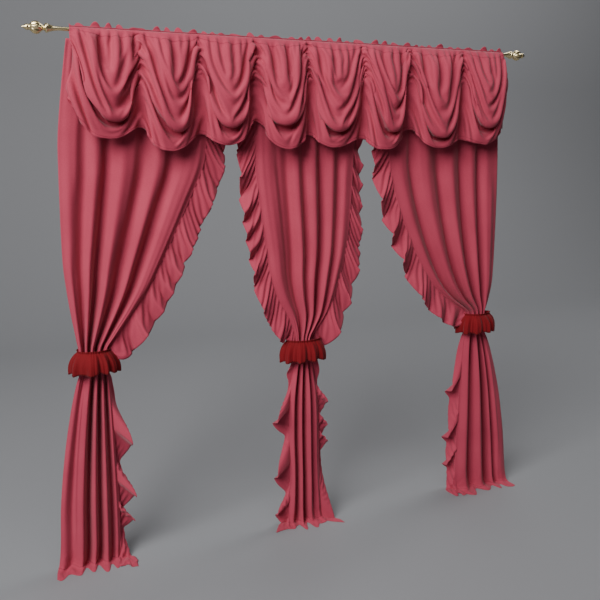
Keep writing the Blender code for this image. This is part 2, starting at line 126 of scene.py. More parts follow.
PANEL_CENTRE = [
    (HEAD_DROP, -0.004, -0.262, 0.262, 0.000),
    (0.14, 0.000, -0.264, 0.262, 0.006),
    (0.30, 0.000, -0.267, 0.260, 0.013),
    (0.45, 0.002, -0.270, 0.256, 0.018),
    (0.58, 0.006, -0.268, 0.250, 0.023),
    (0.72, 0.010, -0.255, 0.242, 0.026),
    (0.86, 0.012, -0.236, 0.231, 0.028),
    (1.00, 0.013, -0.214, 0.213, 0.030),
    (1.12, 0.013, -0.194, 0.184, 0.031),
    (1.22, 0.012, -0.158, 0.154, 0.032),
    (1.31, 0.010, -0.108, 0.116, 0.032),
    (1.38, 0.008, -0.078, 0.066, 0.032),
    (1.43, 0.006, -0.066, 0.030, 0.032),
    (1.49, 0.004, -0.064, 0.024, 0.032),
    (1.55, 0.006, -0.066, 0.026, 0.032),
    (1.63, 0.010, -0.080, 0.040, 0.032),
    (1.76, 0.013, -0.098, 0.058, 0.032),
    (1.95, 0.014, -0.102, 0.066, 0.031),
    (2.16, 0.015, -0.098, 0.070, 0.030),
    (2.34, 0.017, -0.104, 0.080, 0.029),
    (2.42, 0.022, -0.110, 0.088, 0.027),
    (LYING_DROP, 0.042, -0.118, 0.096, 0.022),
    (LYING_DROP, 0.078, -0.124, 0.104, 0.018),
]
FOLDS_CENTRE = [
    (0.000, 0.05), (0.110, 0.75), (0.230, -0.35), (0.312, -0.80), (0.402, 0.75), (0.480, -0.65),
    (0.574, 0.80), (0.657, -1.00), (0.760, 0.85), (0.844, -0.55), (0.929, 0.50), (1.000, 0.00),
]
LOW_FOLDS_CENTRE = [
    (0.000, -0.10), (0.130, 0.75), (0.235, -0.55), (0.280, -1.00), (0.385, 0.70), (0.505, -0.90),
    (0.640, 0.90), (0.765, -0.20), (0.810, 0.10), (0.850, 0.30), (0.900, 0.55), (1.000, -0.10),
]
CREASES_CENTRE = [
    (0.06, 0.022, 0.005, 0.10, 1.20, 0.00), (0.18, 0.026, 0.006, 0.45, 1.45, 0.02),
    (0.36, 0.022, 0.006, 0.10, 1.00, 0.00), (0.53, 0.024, 0.006, 0.30, 1.45, 0.00),
    (0.70, 0.022, 0.006, 0.20, 1.10, 0.00), (0.90, 0.026, 0.006, 0.40, 1.40, -0.01),
    (0.30, 0.030, 0.008, 1.48, 2.40, 0.02), (0.66, 0.030, 0.008, 1.48, 2.44, 0.00),
]
FRILL_CENTRE_LEFT = [
    (0.04, 0.090, 0.004), (0.45, 0.098, 0.002), (0.70, 0.084, 0.000), (1.00, 0.074, -0.004),
    (1.18, 0.084, -0.008), (1.29, 0.078, -0.014), (1.36, 0.056, -0.016), (1.41, 0.038, -0.012),
    (1.49, 0.032, -0.010), (1.56, 0.034, -0.012), (1.66, 0.058, -0.010), (2.12, 0.062, -0.008),
    (2.45, 0.062, -0.006),
]
FRILL_CENTRE_RIGHT = [
    (0.04, 0.046, 0.030), (0.45, 0.052, 0.030), (0.70, 0.064, 0.020), (1.00, 0.078, 0.006),
    (1.18, 0.088, 0.000), (1.31, 0.092, -0.008), (1.37, 0.072, -0.014), (1.41, 0.046, -0.012),
    (1.49, 0.040, -0.010), (1.56, 0.044, -0.012), (1.66, 0.062, -0.010), (2.12, 0.064, -0.008),
    (2.45, 0.072, -0.006),
]

PANEL_RIGHT = [
    (HEAD_DROP, -0.004, 0.440, 1.098, 0.000),
    (0.14, 0.000, 0.443, 1.104, 0.006),
    (0.30, 0.000, 0.448, 1.112, 0.014),
    (0.45, 0.002, 0.451, 1.118, 0.020),
    (0.58, 0.006, 0.456, 1.122, 0.026),
    (0.72, 0.010, 0.490, 1.124, 0.031),
    (0.86, 0.012, 0.542, 1.125, 0.034),
    (1.00, 0.012, 0.608, 1.126, 0.037),
    (1.12, 0.011, 0.674, 1.126, 0.039),
    (1.22, 0.009, 0.748, 1.124, 0.040),
    (1.30, 0.006, 0.838, 1.112, 0.041),
    (1.345, 0.004, 0.912, 1.102, 0.042),
    (1.378, 0.002, 0.960, 1.092, 0.042),
    (1.41, 0.001, 0.966, 1.088, 0.042),
    (1.45, 0.000, 0.968, 1.088, 0.042),
    (1.50, 0.001, 0.966, 1.092, 0.042),
    (1.56, 0.003, 0.956, 1.120, 0.042),
    (1.68, 0.006, 0.948, 1.160, 0.040),
    (1.88, 0.008, 0.940, 1.212, 0.038),
    (2.12, 0.010, 0.934, 1.256, 0.037),
    (2.32, 0.012, 0.936, 1.280, 0.036),
    (2.42, 0.018, 0.942, 1.290, 0.034),
    (LYING_DROP, 0.040, 0.950, 1.300, 0.030),
    (LYING_DROP, 0.080, 0.958, 1.308, 0.026),
]
FOLDS_RIGHT = [
    (0.000, 0.05), (0.085, 0.75), (0.184, -0.80), (0.302, 0.80), (0.435, -0.75), (0.530, 0.90),
    (0.645, -0.85), (0.728, 0.75), (0.817, -0.75), (0.888, 0.60), (1.000, 0.00),
]
LOW_FOLDS_RIGHT = [
    (0.000, -0.10), (0.150, 0.85), (0.300, -0.90), (0.450, 0.90), (0.620, -1.00), (0.705, 0.35),
    (0.775, -0.70), (0.850, 0.25), (0.910, 0.35), (0.955, 0.28), (1.000, 0.10),
]
CREASES_RIGHT = [
    (0.14, 0.024, 0.007, 0.30, 1.30, 0.02), (0.25, 0.022, 0.006, 0.10, 0.90, 0.00),
    (0.38, 0.024, 0.007, 0.50, 1.42, -0.02), (0.48, 0.020, 0.006, 0.10, 0.80, 0.00),
    (0.60, 0.022, 0.007, 0.40, 1.42, 0.00), (0.77, 0.018, 0.006, 0.10, 1.00, 0.00),
    (0.93, 0.022, 0.006, 0.60, 1.42, 0.00), (0.30, 0.026, 0.008, 1.50, 2.44, 0.02),
    (0.58, 0.028, 0.009, 1.50, 2.44, -0.02), (0.86, 0.024, 0.008, 1.50, 2.35, 0.00),
]
FRILL_RIGHT = [
    (0.04, 0.086, 0.006), (0.45, 0.112, 0.006), (0.72, 0.098, -0.006), (1.00, 0.104, -0.010),
    (1.18, 0.118, -0.016), (1.28, 0.128, -0.026), (1.34, 0.104, -0.028), (1.385, 0.036, -0.006),
    (1.41, 0.008, 0.020), (1.45, 0.008, 0.022), (1.50, 0.010, 0.022), (1.56, 0.036, 0.010),
    (1.68, 0.064, 0.042), (2.12, 0.082, 0.042), (2.45, 0.072, 0.010),
]

LEAVES = {
    "frill_left": [
        (1.470, 0.45), (1.530, 1.00), (1.871, 0.95), (2.109, 0.65), (2.215, 0.75), (2.620, 0.00),
    ],
    "frill_centre_left": [
        (1.500, 0.40), (1.600, 1.00), (1.870, 0.80), (2.190, 0.55), (2.380, 0.60), (2.470, 0.00),
    ],
    "frill_centre_right": [
        (1.500, 0.30), (1.600, 0.45), (1.780, 0.30), (1.900, 0.30), (1.980, 0.85), (2.700, 0.00),
    ],
    "frill_right": [
        (1.460, 0.40), (1.520, 1.00), (1.825, 0.95), (2.093, 0.75), (2.240, 0.60), (2.640, 0.00),
    ],
}

# One row per swag, from left to right. The last row only ends the last swag.
SWAGS = [
    Swag(-1.078, 0.085, 0.290, -0.030, 0.454, 0.94, 0.365, 1.60, 1.0),
    Swag(-0.800, 0.205, 0.400, -0.022, 0.504, 1.05, 0.405, 1.55, 0.8),
    Swag(-0.535, 0.155, 0.420, -0.028, 0.481, 1.00, 0.385, 1.15, 1.0),
    Swag(-0.267, 0.177, 0.360, 0.008, 0.497, 1.05, 0.370, 0.80, 0.5),
    Swag(-0.005, 0.160, 0.416, -0.036, 0.486, 0.96, 0.395, 1.10, 0.9),
    Swag(0.284, 0.150, 0.438, -0.040, 0.500, 1.04, 0.400, 1.70, 1.1),
    Swag(0.539, 0.140, 0.390, -0.006, 0.490, 1.06, 0.425, 1.10, 0.5),
    Swag(0.852, 0.135, 0.436, -0.018, 0.474, 0.98, 0.370, 1.25, 1.1),
    Swag(1.112, 0.110, 0.372, 0.000, 0.372, 0.90, 0.300, 1.00, 1.0),
]

TIES = {
    "tie_left": Tie(-1.056, 1.388, 1.492, 0.082, 0.060, 0.030, 0.000),
    "tie_centre": Tie(-0.018, 1.438, 1.545, 0.099, 0.056, 0.026, 0.000),
    "tie_right": Tie(1.024, 1.388, 1.492, 0.082, 0.060, 0.030, 0.022),
}

PANELS = {
    "panel_left": Panel(PANEL_LEFT, FOLDS_LEFT, LOW_FOLDS_LEFT, CREASES_LEFT, 1.440, 0.7),
    "panel_centre": Panel(PANEL_CENTRE, FOLDS_CENTRE, LOW_FOLDS_CENTRE, CREASES_CENTRE, 1.490, 2.1),
    "panel_right": Panel(PANEL_RIGHT, FOLDS_RIGHT, LOW_FOLDS_RIGHT, CREASES_RIGHT, 1.440, 3.8),
}

# The edge is 0 for the left edge of the panel and 1 for the right
FRILLS = {
    "frill_left": Frill("panel_left", 1, FRILL_LEFT, 1.45, 0.78, 0.75, 0.4),
    "frill_centre_left": Frill("panel_centre", 0, FRILL_CENTRE_LEFT, 1.49, 0.55, 0.95, 1.9),
    "frill_centre_right": Frill("panel_centre", 1, FRILL_CENTRE_RIGHT, 1.49, 0.80, 0.95, 3.1),
    "frill_right": Frill("panel_right", 0, FRILL_RIGHT, 1.45, 0.95, 0.75, 4.6),
}


# Curves through the tables

def through_rows(rows, places):
    """Smooth curves through every column of a table, read at places counted in rows."""
    rows = np.array(rows, dtype=float)
    index = np.clip(places.astype(int), 0, len(rows) - 2)
    t = (places - index)[:, None]
    here, after = rows[index], rows[index + 1]
    before, beyond = rows[np.maximum(index - 1, 0)], rows[np.minimum(index + 2, len(rows) - 1)]
    slope_here, slope_after = (after - before) / 2, (beyond - here) / 2
    return ((2 * t**3 - 3 * t**2 + 1) * here + (t**3 - 2 * t**2 + t) * slope_here
            + (3 * t**2 - 2 * t**3) * after + (t**3 - t**2) * slope_after)


def even_places(sections, count):
    """Places along a panel that lie evenly down its cloth, for rows of a mesh."""
    fine = np.linspace(0, len(sections) - 1, 40 * len(sections))
    rows = through_rows(sections, fine)
    steps = np.hypot(np.diff(rows[:, 0]), np.diff(rows[:, 1]))
    length = np.concatenate([[0.0], np.cumsum(steps)])
    return np.interp(np.linspace(0, length[-1], count), length, fine)


def fold_height(folds, low_folds, low, across):
    """Heights from crest to valley. The folds move over into the low folds where low goes from 0 to 1."""
    above, below = np.array(folds, dtype=float), np.array(low_folds, dtype=float)
    places = above[:, 0] + (below[:, 0] - above[:, 0]) * low[..., None]
    heights = above[:, 1] + (below[:, 1] - above[:, 1]) * low[..., None]
    result = 0 * across
    for k in range(len(above) - 1):
        part = np.clip((across - places[..., k]) / (places[..., k + 1] - places[..., k]), 0, 1)
        step = heights[..., k] + (heights[..., k + 1] - heights[..., k]) * (1 - np.cos(np.pi * part)) / 2
        result = np.where(across >= places[..., k], step, result)
    return result


def rise(value, start, end):
    """Zero before start, one after end, with a soft bend between."""
    t = np.clip((value - start) / (end - start), 0.0, 1.0)
    return t * t * (3 - 2 * t)


def window(value, start, end, soft):
    """One between start and end and zero outside, with a soft bend at each."""
    return rise(value, start, start + soft) * (1 - rise(value, end - soft, end))


def bump(value):
    """One at zero, falling softly to zero on both sides."""
    return np.exp(-value * value)


# Panels

def panel_surface(panel, across, places):
    """The panel's middle surface: a grid of points, a row for each place and a column for each across."""
    sections, folds, low_folds, creases, tie_drop, phase = panel
    rows = through_rows(sections, places)
    drop, forward, left, right, depth = [rows[:, k][:, None] for k in range(5)]
    a = across[None, :]
    rounding = 1 - 0.45 * np.abs(2 * a - 1) ** 3
    sway = 0.012 * np.sin(2.6 * drop + phase) * np.sin(np.pi * a)
    lined = np.clip(a + sway, 0, 1)
    low = rise(drop, tie_drop - 0.03, tie_drop + 0.07)
    height = fold_height(folds, low_folds, low + 0 * lined, lined)
    height = 2 * np.clip((height + 1) / 2, 0.001, 1) ** 0.85 - 1
    crests = height
    height = depth * (1 - 0.25 * bump((drop - tie_drop) / 0.25)) * rounding * height
    for place, width, rib, top, bottom, lean in creases:
        centre = place + lean * (drop - top)
        reach = window(drop, top, bottom, 0.25 * (bottom - top))
        height = height + rib * bump((lined - centre) / width) * reach
    near_tie = np.exp(-np.abs(drop - tie_drop) / np.where(drop < tie_drop, 0.16, 0.05))
    pleats = np.sin(2 * np.pi * (13 * lined + 0.25 * np.sin(9 * lined + phase)) + phase)
    height = height + 0.0055 * near_tie * pleats * rounding
    head = np.exp(-(drop - HEAD_DROP) / 0.12) * (1 - np.exp(-(drop - HEAD_DROP) / 0.02))
    height = height + 0.003 * head * np.sin(2 * np.pi * 24 * a + 2 * np.sin(17 * a + phase))
    soft = (np.sin(5.1 * drop + 11 * lined + phase) * np.sin(3.3 * drop - 7 * lined)
            + 0.6 * np.sin(9 * drop + 5 * np.sin(6 * lined) + phase))
    height = height + 0.0020 * soft * rise(drop, 0.3, 0.8)
    x = left + (right - left) * a
    lying = rise(drop, 2.34, LYING_DROP)
    toes = 0.030 * rise(forward, 0.022, 0.078) * rise(crests, -0.95, 0.80)
    toes = toes * (0.6 + 0.4 * np.sin(7 * a + 2 * phase))
    y = -0.80 * forward - height - toes - 0.006 * lying * np.sin(2 * np.pi * 2.6 * a + phase)
    z = -np.minimum(drop, LYING_DROP) + 0 * a
    wrinkles = 0.5 + 0.5 * np.sin(2 * np.pi * 5.3 * a + phase)
    z = z + 0.007 * lying * wrinkles * (1 - rise(forward, 0.05, 0.08))
    return np.stack([x, y, z], axis=-1)


# Meshes

def add_object(name, data):
    """A new object in the scene, at the origin."""
    made = bpy.data.objects.new(name, data)
    bpy.context.scene.collection.objects.link(made)
    return made


def finished_mesh(holder, name, material):
    """One plain mesh of an object's finished shape. The object's modifiers are removed."""
    bpy.context.view_layer.update()
    mesh = bpy.data.meshes.new_from_object(holder.evaluated_get(bpy.context.evaluated_depsgraph_get()))
    holder.modifiers.clear()
    mesh.name = name
    mesh.materials.clear()
    mesh.materials.append(material)
    return mesh


def corners_of(grid):
    """The four corners of every square of a grid, in order round it."""
    return np.stack([grid[:-1, :-1], grid[1:, :-1], grid[1:, 1:], grid[:-1, 1:]], axis=2)


def grid_mesh(name, points, flat, closed=False):
    """A quad mesh through a grid of points, with a UV map in metres of flat cloth."""
    rows, columns = points.shape[:2]
    index = np.arange(rows * columns).reshape(rows, columns)
    if closed:
        index[:, -1] = index[:, 0]
    quads = corners_of(index).reshape(-1, 4)
    u, v = np.meshgrid(np.linspace(0, flat[0], columns), np.linspace(0, -flat[1], rows))
    places = corners_of(np.stack([u, v], axis=-1))
    keep = np.unique(quads)
    order = np.full(rows * columns, -1)
    order[keep] = np.arange(len(keep))
    mesh = bpy.data.meshes.new(name)
    mesh.from_pydata(points.reshape(-1, 3)[keep].tolist(), [], order[quads].tolist())
    layer = mesh.uv_layers.new(name="cloth")
    layer.data.foreach_set("uv", places.ravel())
    mesh.shade_smooth()
    return mesh


def cloth_piece(name, points, flat, material, closed=False):
    """A sheet of cloth on its middle surface, given its thickness and made one plain mesh."""
    grid = grid_mesh("middle", points, flat, closed)
    piece = add_object(name, grid)
    skin = piece.modifiers.new("thickness", "SOLIDIFY")
    skin.thickness = CLOTH
    skin.offset = 0.0
    piece.data = finished_mesh(piece, name, material)
    bpy.data.meshes.remove(grid)
    return piece


def area_of(points):
    """The area of a grid of points."""
    a, b, c, d = np.moveaxis(corners_of(points), 2, 0)
    one = np.linalg.norm(np.cross(b - a, d - a), axis=-1)
    two = np.linalg.norm(np.cross(b - c, d - c), axis=-1)
    return float((one + two).sum() / 2)


# Cloth that settles

def spacing(points, axis):
    """Distances between neighbours of a grid of points."""
    return np.linalg.norm(np.diff(points, axis=axis), axis=-1)


def settle(start, rest_across, rest_down, held, pull, rounds, weight, grain=0.0, *, bend, broad, stop):
    """Lets a grid of cloth relax: threads keep their cut length and resist sharp bends.

    Held points stay, and a faint pull keeps the others near where they start. With a grain of 1 the
    threads also want to cross squarely, and with 0 as they cross at the start. Each round ends with
    stop, which keeps the cloth out of what it lies on.
    """
    aim = start.astype(np.float32)
    now, before = aim.copy(), aim.copy()
    pull = np.asarray(pull, dtype=np.float32)[..., None]
    across, down = rest_across.astype(np.float32), rest_down.astype(np.float32)
    side_span = np.diff(start, axis=1) * (rest_across / (spacing(start, 1) + 1e-7))[..., None]
    down_span = np.diff(start, axis=0) * (rest_down / (spacing(start, 0) + 1e-7))[..., None]
    side_span, down_span = (side_span[:-1] + side_span[1:]) / 2, (down_span[:, :-1] + down_span[:, 1:]) / 2
    square = np.sqrt((side_span ** 2).sum(-1) + (down_span ** 2).sum(-1))
    falling, rising = [(grain * square + (1 - grain) * np.linalg.norm(slant, axis=-1)).astype(np.float32)
                       for slant in (side_span + down_span, side_span - down_span)]
    four_across = across[:, 3:] + across[:, 2:-1] + across[:, 1:-2] + across[:, :-3]
    four_down = down[3:] + down[2:-1] + down[1:-2] + down[:-3]
    # Pairs of points, the span between them at rest, how firmly it is kept, and if it only pushes apart
    pairs = [
        (np.s_[:, :-1], np.s_[:, 1:], across, 0.55, False),
        (np.s_[:-1], np.s_[1:], down, 0.55, False),
        (np.s_[:-1, :-1], np.s_[1:, 1:], falling, 0.12, False),
        (np.s_[1:, :-1], np.s_[:-1, 1:], rising, 0.12, False),
        (np.s_[:, :-2], np.s_[:, 2:], 0.97 * (across[:, 1:] + across[:, :-1]), bend, True),
        (np.s_[:-2], np.s_[2:], 0.97 * (down[1:] + down[:-1]), bend, True),
        (np.s_[:, :-4], np.s_[:, 4:], 0.80 * four_across, broad, True),
        (np.s_[:-4], np.s_[4:], 0.80 * four_down, broad, True),
    ]
    for _ in range(rounds):
        step = 0.95 * (now - before)
        before[...] = now
        now += step
        now[..., 2] -= weight
        now += pull * (aim - now)
        for one, two, rest, firm, only_push in pairs:
            span = now[two] - now[one]
            length = np.sqrt(np.einsum("ijk,ijk->ij", span, span)) + 1e-7
            error = 1 - rest / length
            if only_push:
                error = np.minimum(error, 0)
            span *= (0.5 * firm * np.maximum(error, -1.0))[..., None]
            now[one] += span
            now[two] -= span
        stop(now)
        now[held] = aim[held]
    return now.astype(float)


def settle_broadly(start, rest_across, rest_down, held, pull, rounds, weight, grain, **more):
    """Lets every second thread relax first, for the broad folds, and then all of them."""
    coarse = start[::2, ::2]
    across = (rest_across[:, ::2] + rest_across[:, 1::2])[::2]
    down = (rest_down[::2] + rest_down[1::2])[:, ::2]
    moved = settle(coarse, across, down, held[::2, ::2], pull[::2, ::2], rounds[0], weight, grain, **more)
    moved -= coarse
    shift = np.zeros_like(start)
    shift[::2, ::2] = moved
    shift[1::2, ::2] = (moved[1:] + moved[:-1]) / 2
    shift[:, 1::2] = (shift[:, :-1:2] + shift[:, 2::2]) / 2
    return settle(start + shift, rest_across, rest_down, held, pull, rounds[1], weight, grain, **more)


def soften(points, times):
    """Evens out a grid of points a little, its edges aside."""
    for _ in range(times):
        inner = points[1:-1, 1:-1]
        around = points[:-2, 1:-1] + points[2:, 1:-1] + points[1:-1, :-2] + points[1:-1, 2:]
        points[1:-1, 1:-1] = 0.5 * inner + 0.125 * around
    return points


# Dressed panels

PANEL_ROWS, PANEL_COLUMNS = 280, 115
PANEL_LENGTH = 2.46
PANEL_WEIGHT = 1e-6


def dress_panel(name, panel, material):
    """A panel whose pleats come in at the tie and open again towards the floor."""
    across = np.linspace(0, 1, PANEL_COLUMNS)
    start = panel_surface(panel, across, even_places(panel.sections, PANEL_ROWS))
    drop = -start[:, :1, 2]
    near_tie = bump((drop - panel.tie_drop) / 0.16)
    near_head = bump((drop - HEAD_DROP) / 0.15)
    low = rise(drop, 2.30, 2.44)
    share = 1 + 0.14 * near_tie + 0.10 * near_head + 0.06 * low + 0 * across[None, :]
    rest_across = spacing(start, 1) * (share[:, 1:] + share[:, :-1]) / 2
    rest_down = spacing(start, 0) * (1 + 0.06 * low[1:])
    held = np.zeros(start.shape[:2], dtype=bool)
    held[0] = True
    held[:, :3] = held[:, -3:] = True
    pull = 0.004 + 0 * start[..., 0]

    def stop(now):
        np.maximum(now[..., 2], -LYING_DROP, out=now[..., 2])

    rounds = 260
    points = settle(start, rest_across, rest_down, held, pull, rounds, PANEL_WEIGHT,
                    bend=0.20, broad=0.05, stop=stop)
    points = soften(points, 1)
    width = round(area_of(points) / PANEL_LENGTH, 2)
    piece = cloth_piece("cloth_" + name, points, (width, PANEL_LENGTH), material)
    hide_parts(name)
    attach(piece, "root")
    # The hem's stitches are on the last row that stands clear of the floor
    upright = np.nonzero(points[:, :, 2].max(axis=1) > 0.012 - LYING_DROP)[0][-1]
    return [on_face(points, upright, (0.0, -1.0, 0.3))]


# Frills

def by_drop(rows, drop):
    """The columns of a table read at drops, apart from the first, which holds the rows' own drops."""
    table = np.array(rows, dtype=float)
    return [np.interp(drop, table[:, 0], table[:, k]) for k in range(1, table.shape[1])]


FRILL_ROWS, FRILL_COLUMNS = 640, 17
FRILL_WIDTH = 0.120
FRILL_FULLNESS = 1.38
FRILL_STRIP = round(2.45 * FRILL_FULLNESS, 2)
FRILL_WEIGHT = 4e-6
# Where a frill is sewn: places across the panel at its two edges, how far in and how far behind
SEAM_PLACES = (0.012, 0.988)
SEAM_INSET, SEAM_BEHIND = 0.003, 0.0015


def seam_direction(seam):
    """The direction of a seam as seen from the front, evened out over 41 rows."""
    flow = np.pad(np.gradient(seam[:, ::2], axis=0), ((20, 20), (0, 0)), mode="edge")
    flow = np.stack([np.convolve(flow[:, k], np.ones(41) / 41, mode="valid") for k in (0, 1)], axis=1)
    return flow / (np.linalg.norm(flow, axis=1)[:, None] + 1e-9)


def hanging_leaves(seam, side, leaves, slope, width, back, near_tie, w):
    """The strip below the tie, in leaves that swing out and forward to a tip and fold back under it."""
    drop = -seam[:, 2]
    starts, reaches = np.array(leaves).T
    number = np.clip(np.searchsorted(starts, drop, side="right") - 1, 0, len(leaves) - 2)
    part = np.clip((drop - starts[number]) / (starts[number + 1] - starts[number]), 0, 1)
    size = reaches[number]
    swung = rise(part, 0.0, 0.70) * (1 - rise(part, 0.76, 1.0))
    ahead = rise(part, 0.10, 0.68) * (1 - rise(part, 0.69, 0.82))
    droop = (1.32 + (slope - 1.32) * swung)[:, None] + 0.22 * (1 - w) * (1 - swung[:, None])
    arm = FRILL_WIDTH * (0.45 + 0.55 * size * swung + 0.30 * (1 - swung)) * (1 - near_tie)
    arm = (arm + width * near_tie)[:, None] * w
    behind = back[:, None] * w + (0.026 - 0.084 * ahead * size)[:, None] * w ** 0.7
    return np.stack([seam[:, :1] + side * arm * np.cos(droop) - SEAM_INSET * side,
                     seam[:, 1:2] + SEAM_BEHIND + behind,
                     seam[:, 2:] - arm * np.sin(droop)], axis=-1)


def dress_frill(name, frill, leaves, material):
    """A gathered strip along an edge of a panel, held along its seam and free at its longer outer edge."""
    panel, side = PANELS[frill.panel], 2 * frill.edge - 1
    weight, phase = frill.weight, frill.phase
    places = even_places(panel.sections, FRILL_ROWS)
    seam = panel_surface(panel, np.array(SEAM_PLACES), places)[:, frill.edge]
    steps = np.linalg.norm(np.diff(seam, axis=0), axis=1)
    length = np.concatenate([[0.0], np.cumsum(steps)])
    drop = -seam[:, 2]
    width, back = by_drop(frill.rows, drop)
    flow = seam_direction(seam)
    low = rise(drop, frill.tie_drop + 0.02, frill.tie_drop + 0.16)
    heavy = weight + (1.10 - weight) * low
    out_x, out_z = side * -flow[:, 1], side * flow[:, 0] - heavy
    tilt = np.hypot(out_x, out_z)
    out_x, out_z = out_x / tilt, out_z / tilt
    near_tie = bump((drop - frill.tie_drop) / 0.085)
    loose = (1 - 0.93 * near_tie) * np.clip((drop - HEAD_DROP) / 0.5, 0.25, 1.0)
    reach = np.minimum(1.05 * FRILL_WIDTH, width / np.maximum(np.abs(out_x), 0.5) * 1.15)
    reach = reach * (1 - near_tie) + width * near_tie
    # Uneven waves grow towards the outer edge, and fine gathers stand beside the seam
    turns = length / 0.148 + 0.42 * np.sin(5.3 * length + phase) + 0.22 * np.sin(11.1 * length + 2 * phase)
    swing = (2 * np.pi * turns + phase)[:, None]
    w = np.linspace(0, 1, FRILL_COLUMNS)[None, :]
    strength = (0.029 * (1 + 0.40 * np.sin(5.7 * length + 2 * phase)) * loose * (1 - low))[:, None]
    fine = np.sin(2 * np.pi * length[:, None] / 0.021 + 1.5 * np.sin(23 * length[:, None]))
    ripple = strength * w ** 0.8 * np.sin(swing)
    ripple = ripple + 0.0030 * fine * (1 - w) ** 1.5 * np.clip(4 * w, 0, 1) * loose[:, None]
    slide = 0.50 * strength * w * np.sin(2 * swing)
    upper = np.stack([seam[:, :1] + (out_x * reach)[:, None] * w + flow[:, :1] * slide - SEAM_INSET * side,
                      seam[:, 1:2] + SEAM_BEHIND + back[:, None] * w - ripple,
                      seam[:, 2:] + (out_z * reach)[:, None] * w + flow[:, 1:] * slide], axis=-1)
    lower = hanging_leaves(seam, side, leaves, frill.slope, width, back, near_tie, w)
    start = upper + (lower - upper) * low[:, None, None]
    start[..., 2] = np.maximum(start[..., 2], -LYING_DROP + 0.0005)
    full = 1 + (FRILL_FULLNESS - 1) * w ** 1.25 * (1 - 0.85 * near_tie[:, None])
    rest_down = np.maximum(steps[:, None] * (full[1:] + full[:-1]) / 2, 0.0012)
    lowered = low[1:, None]
    rest_down = rest_down * (1 - lowered) + 1.04 * spacing(start, 0) * lowered
    rest_across = np.repeat((reach / (FRILL_COLUMNS - 1))[:, None], FRILL_COLUMNS - 1, axis=1) * 1.02
    held = np.zeros(start.shape[:2], dtype=bool)
    held[:, 0] = True
    held[near_tie > 0.75] = True
    pull = 0.0015 + 0.10 * near_tie[:, None] ** 3 + 0.012 * low[:, None] * (1 - 0.6 * w)

    def stop(now):
        np.maximum(now[..., 2], -LYING_DROP, out=now[..., 2])
        np.minimum(now[..., 1], BACK_LIMIT, out=now[..., 1])

    rounds = 420
    grain = (1 - low[1:])[:, None]
    points = settle(start, rest_across, rest_down, held, pull, rounds, FRILL_WEIGHT, grain,
                    bend=0.40, broad=0.25, stop=stop)
    points = soften(points, 2)
    piece = cloth_piece("cloth_" + name, points, (FRILL_WIDTH, FRILL_STRIP), material)
    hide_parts(name)
    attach(piece, "root")


# Valance

SWAG_COLUMNS = 70
POUF_ROWS, BAND_ROWS = 56, 31
VALANCE_LENGTH = 0.600
VALANCE_WEIGHT = 3e-6
VALANCE_GRAIN = 0.6
VALANCE_SEED = 12
HEADING_CLOTH = (4.0, 0.12)
POCKET_STITCH_DROP = 0.020
SEAM_DROP = -0.0105
POUF_DEPTH = 0.100
ROLL_SHARE = 0.26


def swag_fullness(s, power):
    """Zero at the two ends of a swag and one in its middle. A higher power makes it fuller."""
    return 1 - np.abs(2 * s - 1) ** power


def valance_swag(index, s):
    """One swag's grid of points from the seam under the rod to the hem."""
    here, after = SWAGS[index], SWAGS[index + 1]
    x0, x1 = here.start, after.start
    s = s[None, :]
    round_w = swag_fullness(s, 2.2)
    low_w = swag_fullness(s, 3.6)
    roll_w = swag_fullness(s ** here.skew, 2.6)
    gather = here.gather_drop + (after.gather_drop - here.gather_drop) * s
    cusp = here.cusp_drop + (after.cusp_drop - here.cusp_drop) * s
    roll = gather + (here.roll_drop - gather) * roll_w
    hem = cusp + (here.bottom_drop - cusp) * swag_fullness(s, 2.6)
    upper = np.linspace(0, 1, POUF_ROWS)[:, None]
    lower = np.linspace(0, 1, BAND_ROWS + 1)[1:, None]
    pouf = here.pouf * POUF_DEPTH

    # The balloon above the roll hangs a little over it
    over = 0.022 * roll_w
    drop_up = SEAM_DROP + (roll + over - SEAM_DROP) * upper
    over_rod = np.sqrt(np.maximum(SWAG_HEAD ** 2 - np.minimum(drop_up, 0.0) ** 2, 0.0))
    gathered_forward = over_rod + 0.024 * upper
    full_forward = over_rod + pouf * np.sin(np.pi / 2 * upper ** 0.85)
    forward_up = gathered_forward + (full_forward - gathered_forward) * round_w
    # The roll turns under and back up, and the band comes out from behind it
    under = np.clip(lower / ROLL_SHARE, 0, 1)
    fall = np.clip((lower - ROLL_SHARE) / (1 - ROLL_SHARE), 0, 1)
    fall = fall * roll_w + lower * (1 - roll_w)
    drop_low = roll + over * (1 - rise(under, 0, 1)) + (hem - roll) * fall
    gathered_low = 0.036 - 0.004 * lower
    swell = np.sin(np.pi / 2 * np.clip(fall / 0.6, 0, 1))
    full_low = 0.013 + pouf - 0.046 * rise(under, 0, 1) + 0.034 * swell - 0.016 * fall
    meet = round_w + (low_w - round_w) * rise(lower, 0.0, 0.3)
    forward_low = gathered_low + (full_low - gathered_low) * meet

    drop = np.concatenate([drop_up, drop_low])
    forward = np.concatenate([forward_up, forward_low])
    aside = here.middle * swag_fullness(s, 2.0) * np.clip(drop / here.bottom_drop, 0, 1) ** 1.5
    x = x0 + (x1 - x0) * s + aside
    if index == 0:
        x = x - 0.030 * bump((drop - 0.25) / 0.10) * (1 - s) ** 2
        forward = forward + 0.012 * rise(drop, 0.04, 0.15) * (1 - s) ** 2
    if index == len(SWAGS) - 2:
        x = x + 0.022 * bump((drop - 0.15) / 0.10) * s ** 2
    return np.stack([x, -forward, -drop], axis=-1)


def valance_grid():
    """The swags side by side, as one grid of points."""
    swags = [valance_swag(index, np.linspace(0, 1, SWAG_COLUMNS + 1)) for index in range(len(SWAGS) - 1)]
    return np.concatenate(swags[:1] + [swag[:, 1:] for swag in swags[1:]], axis=1)


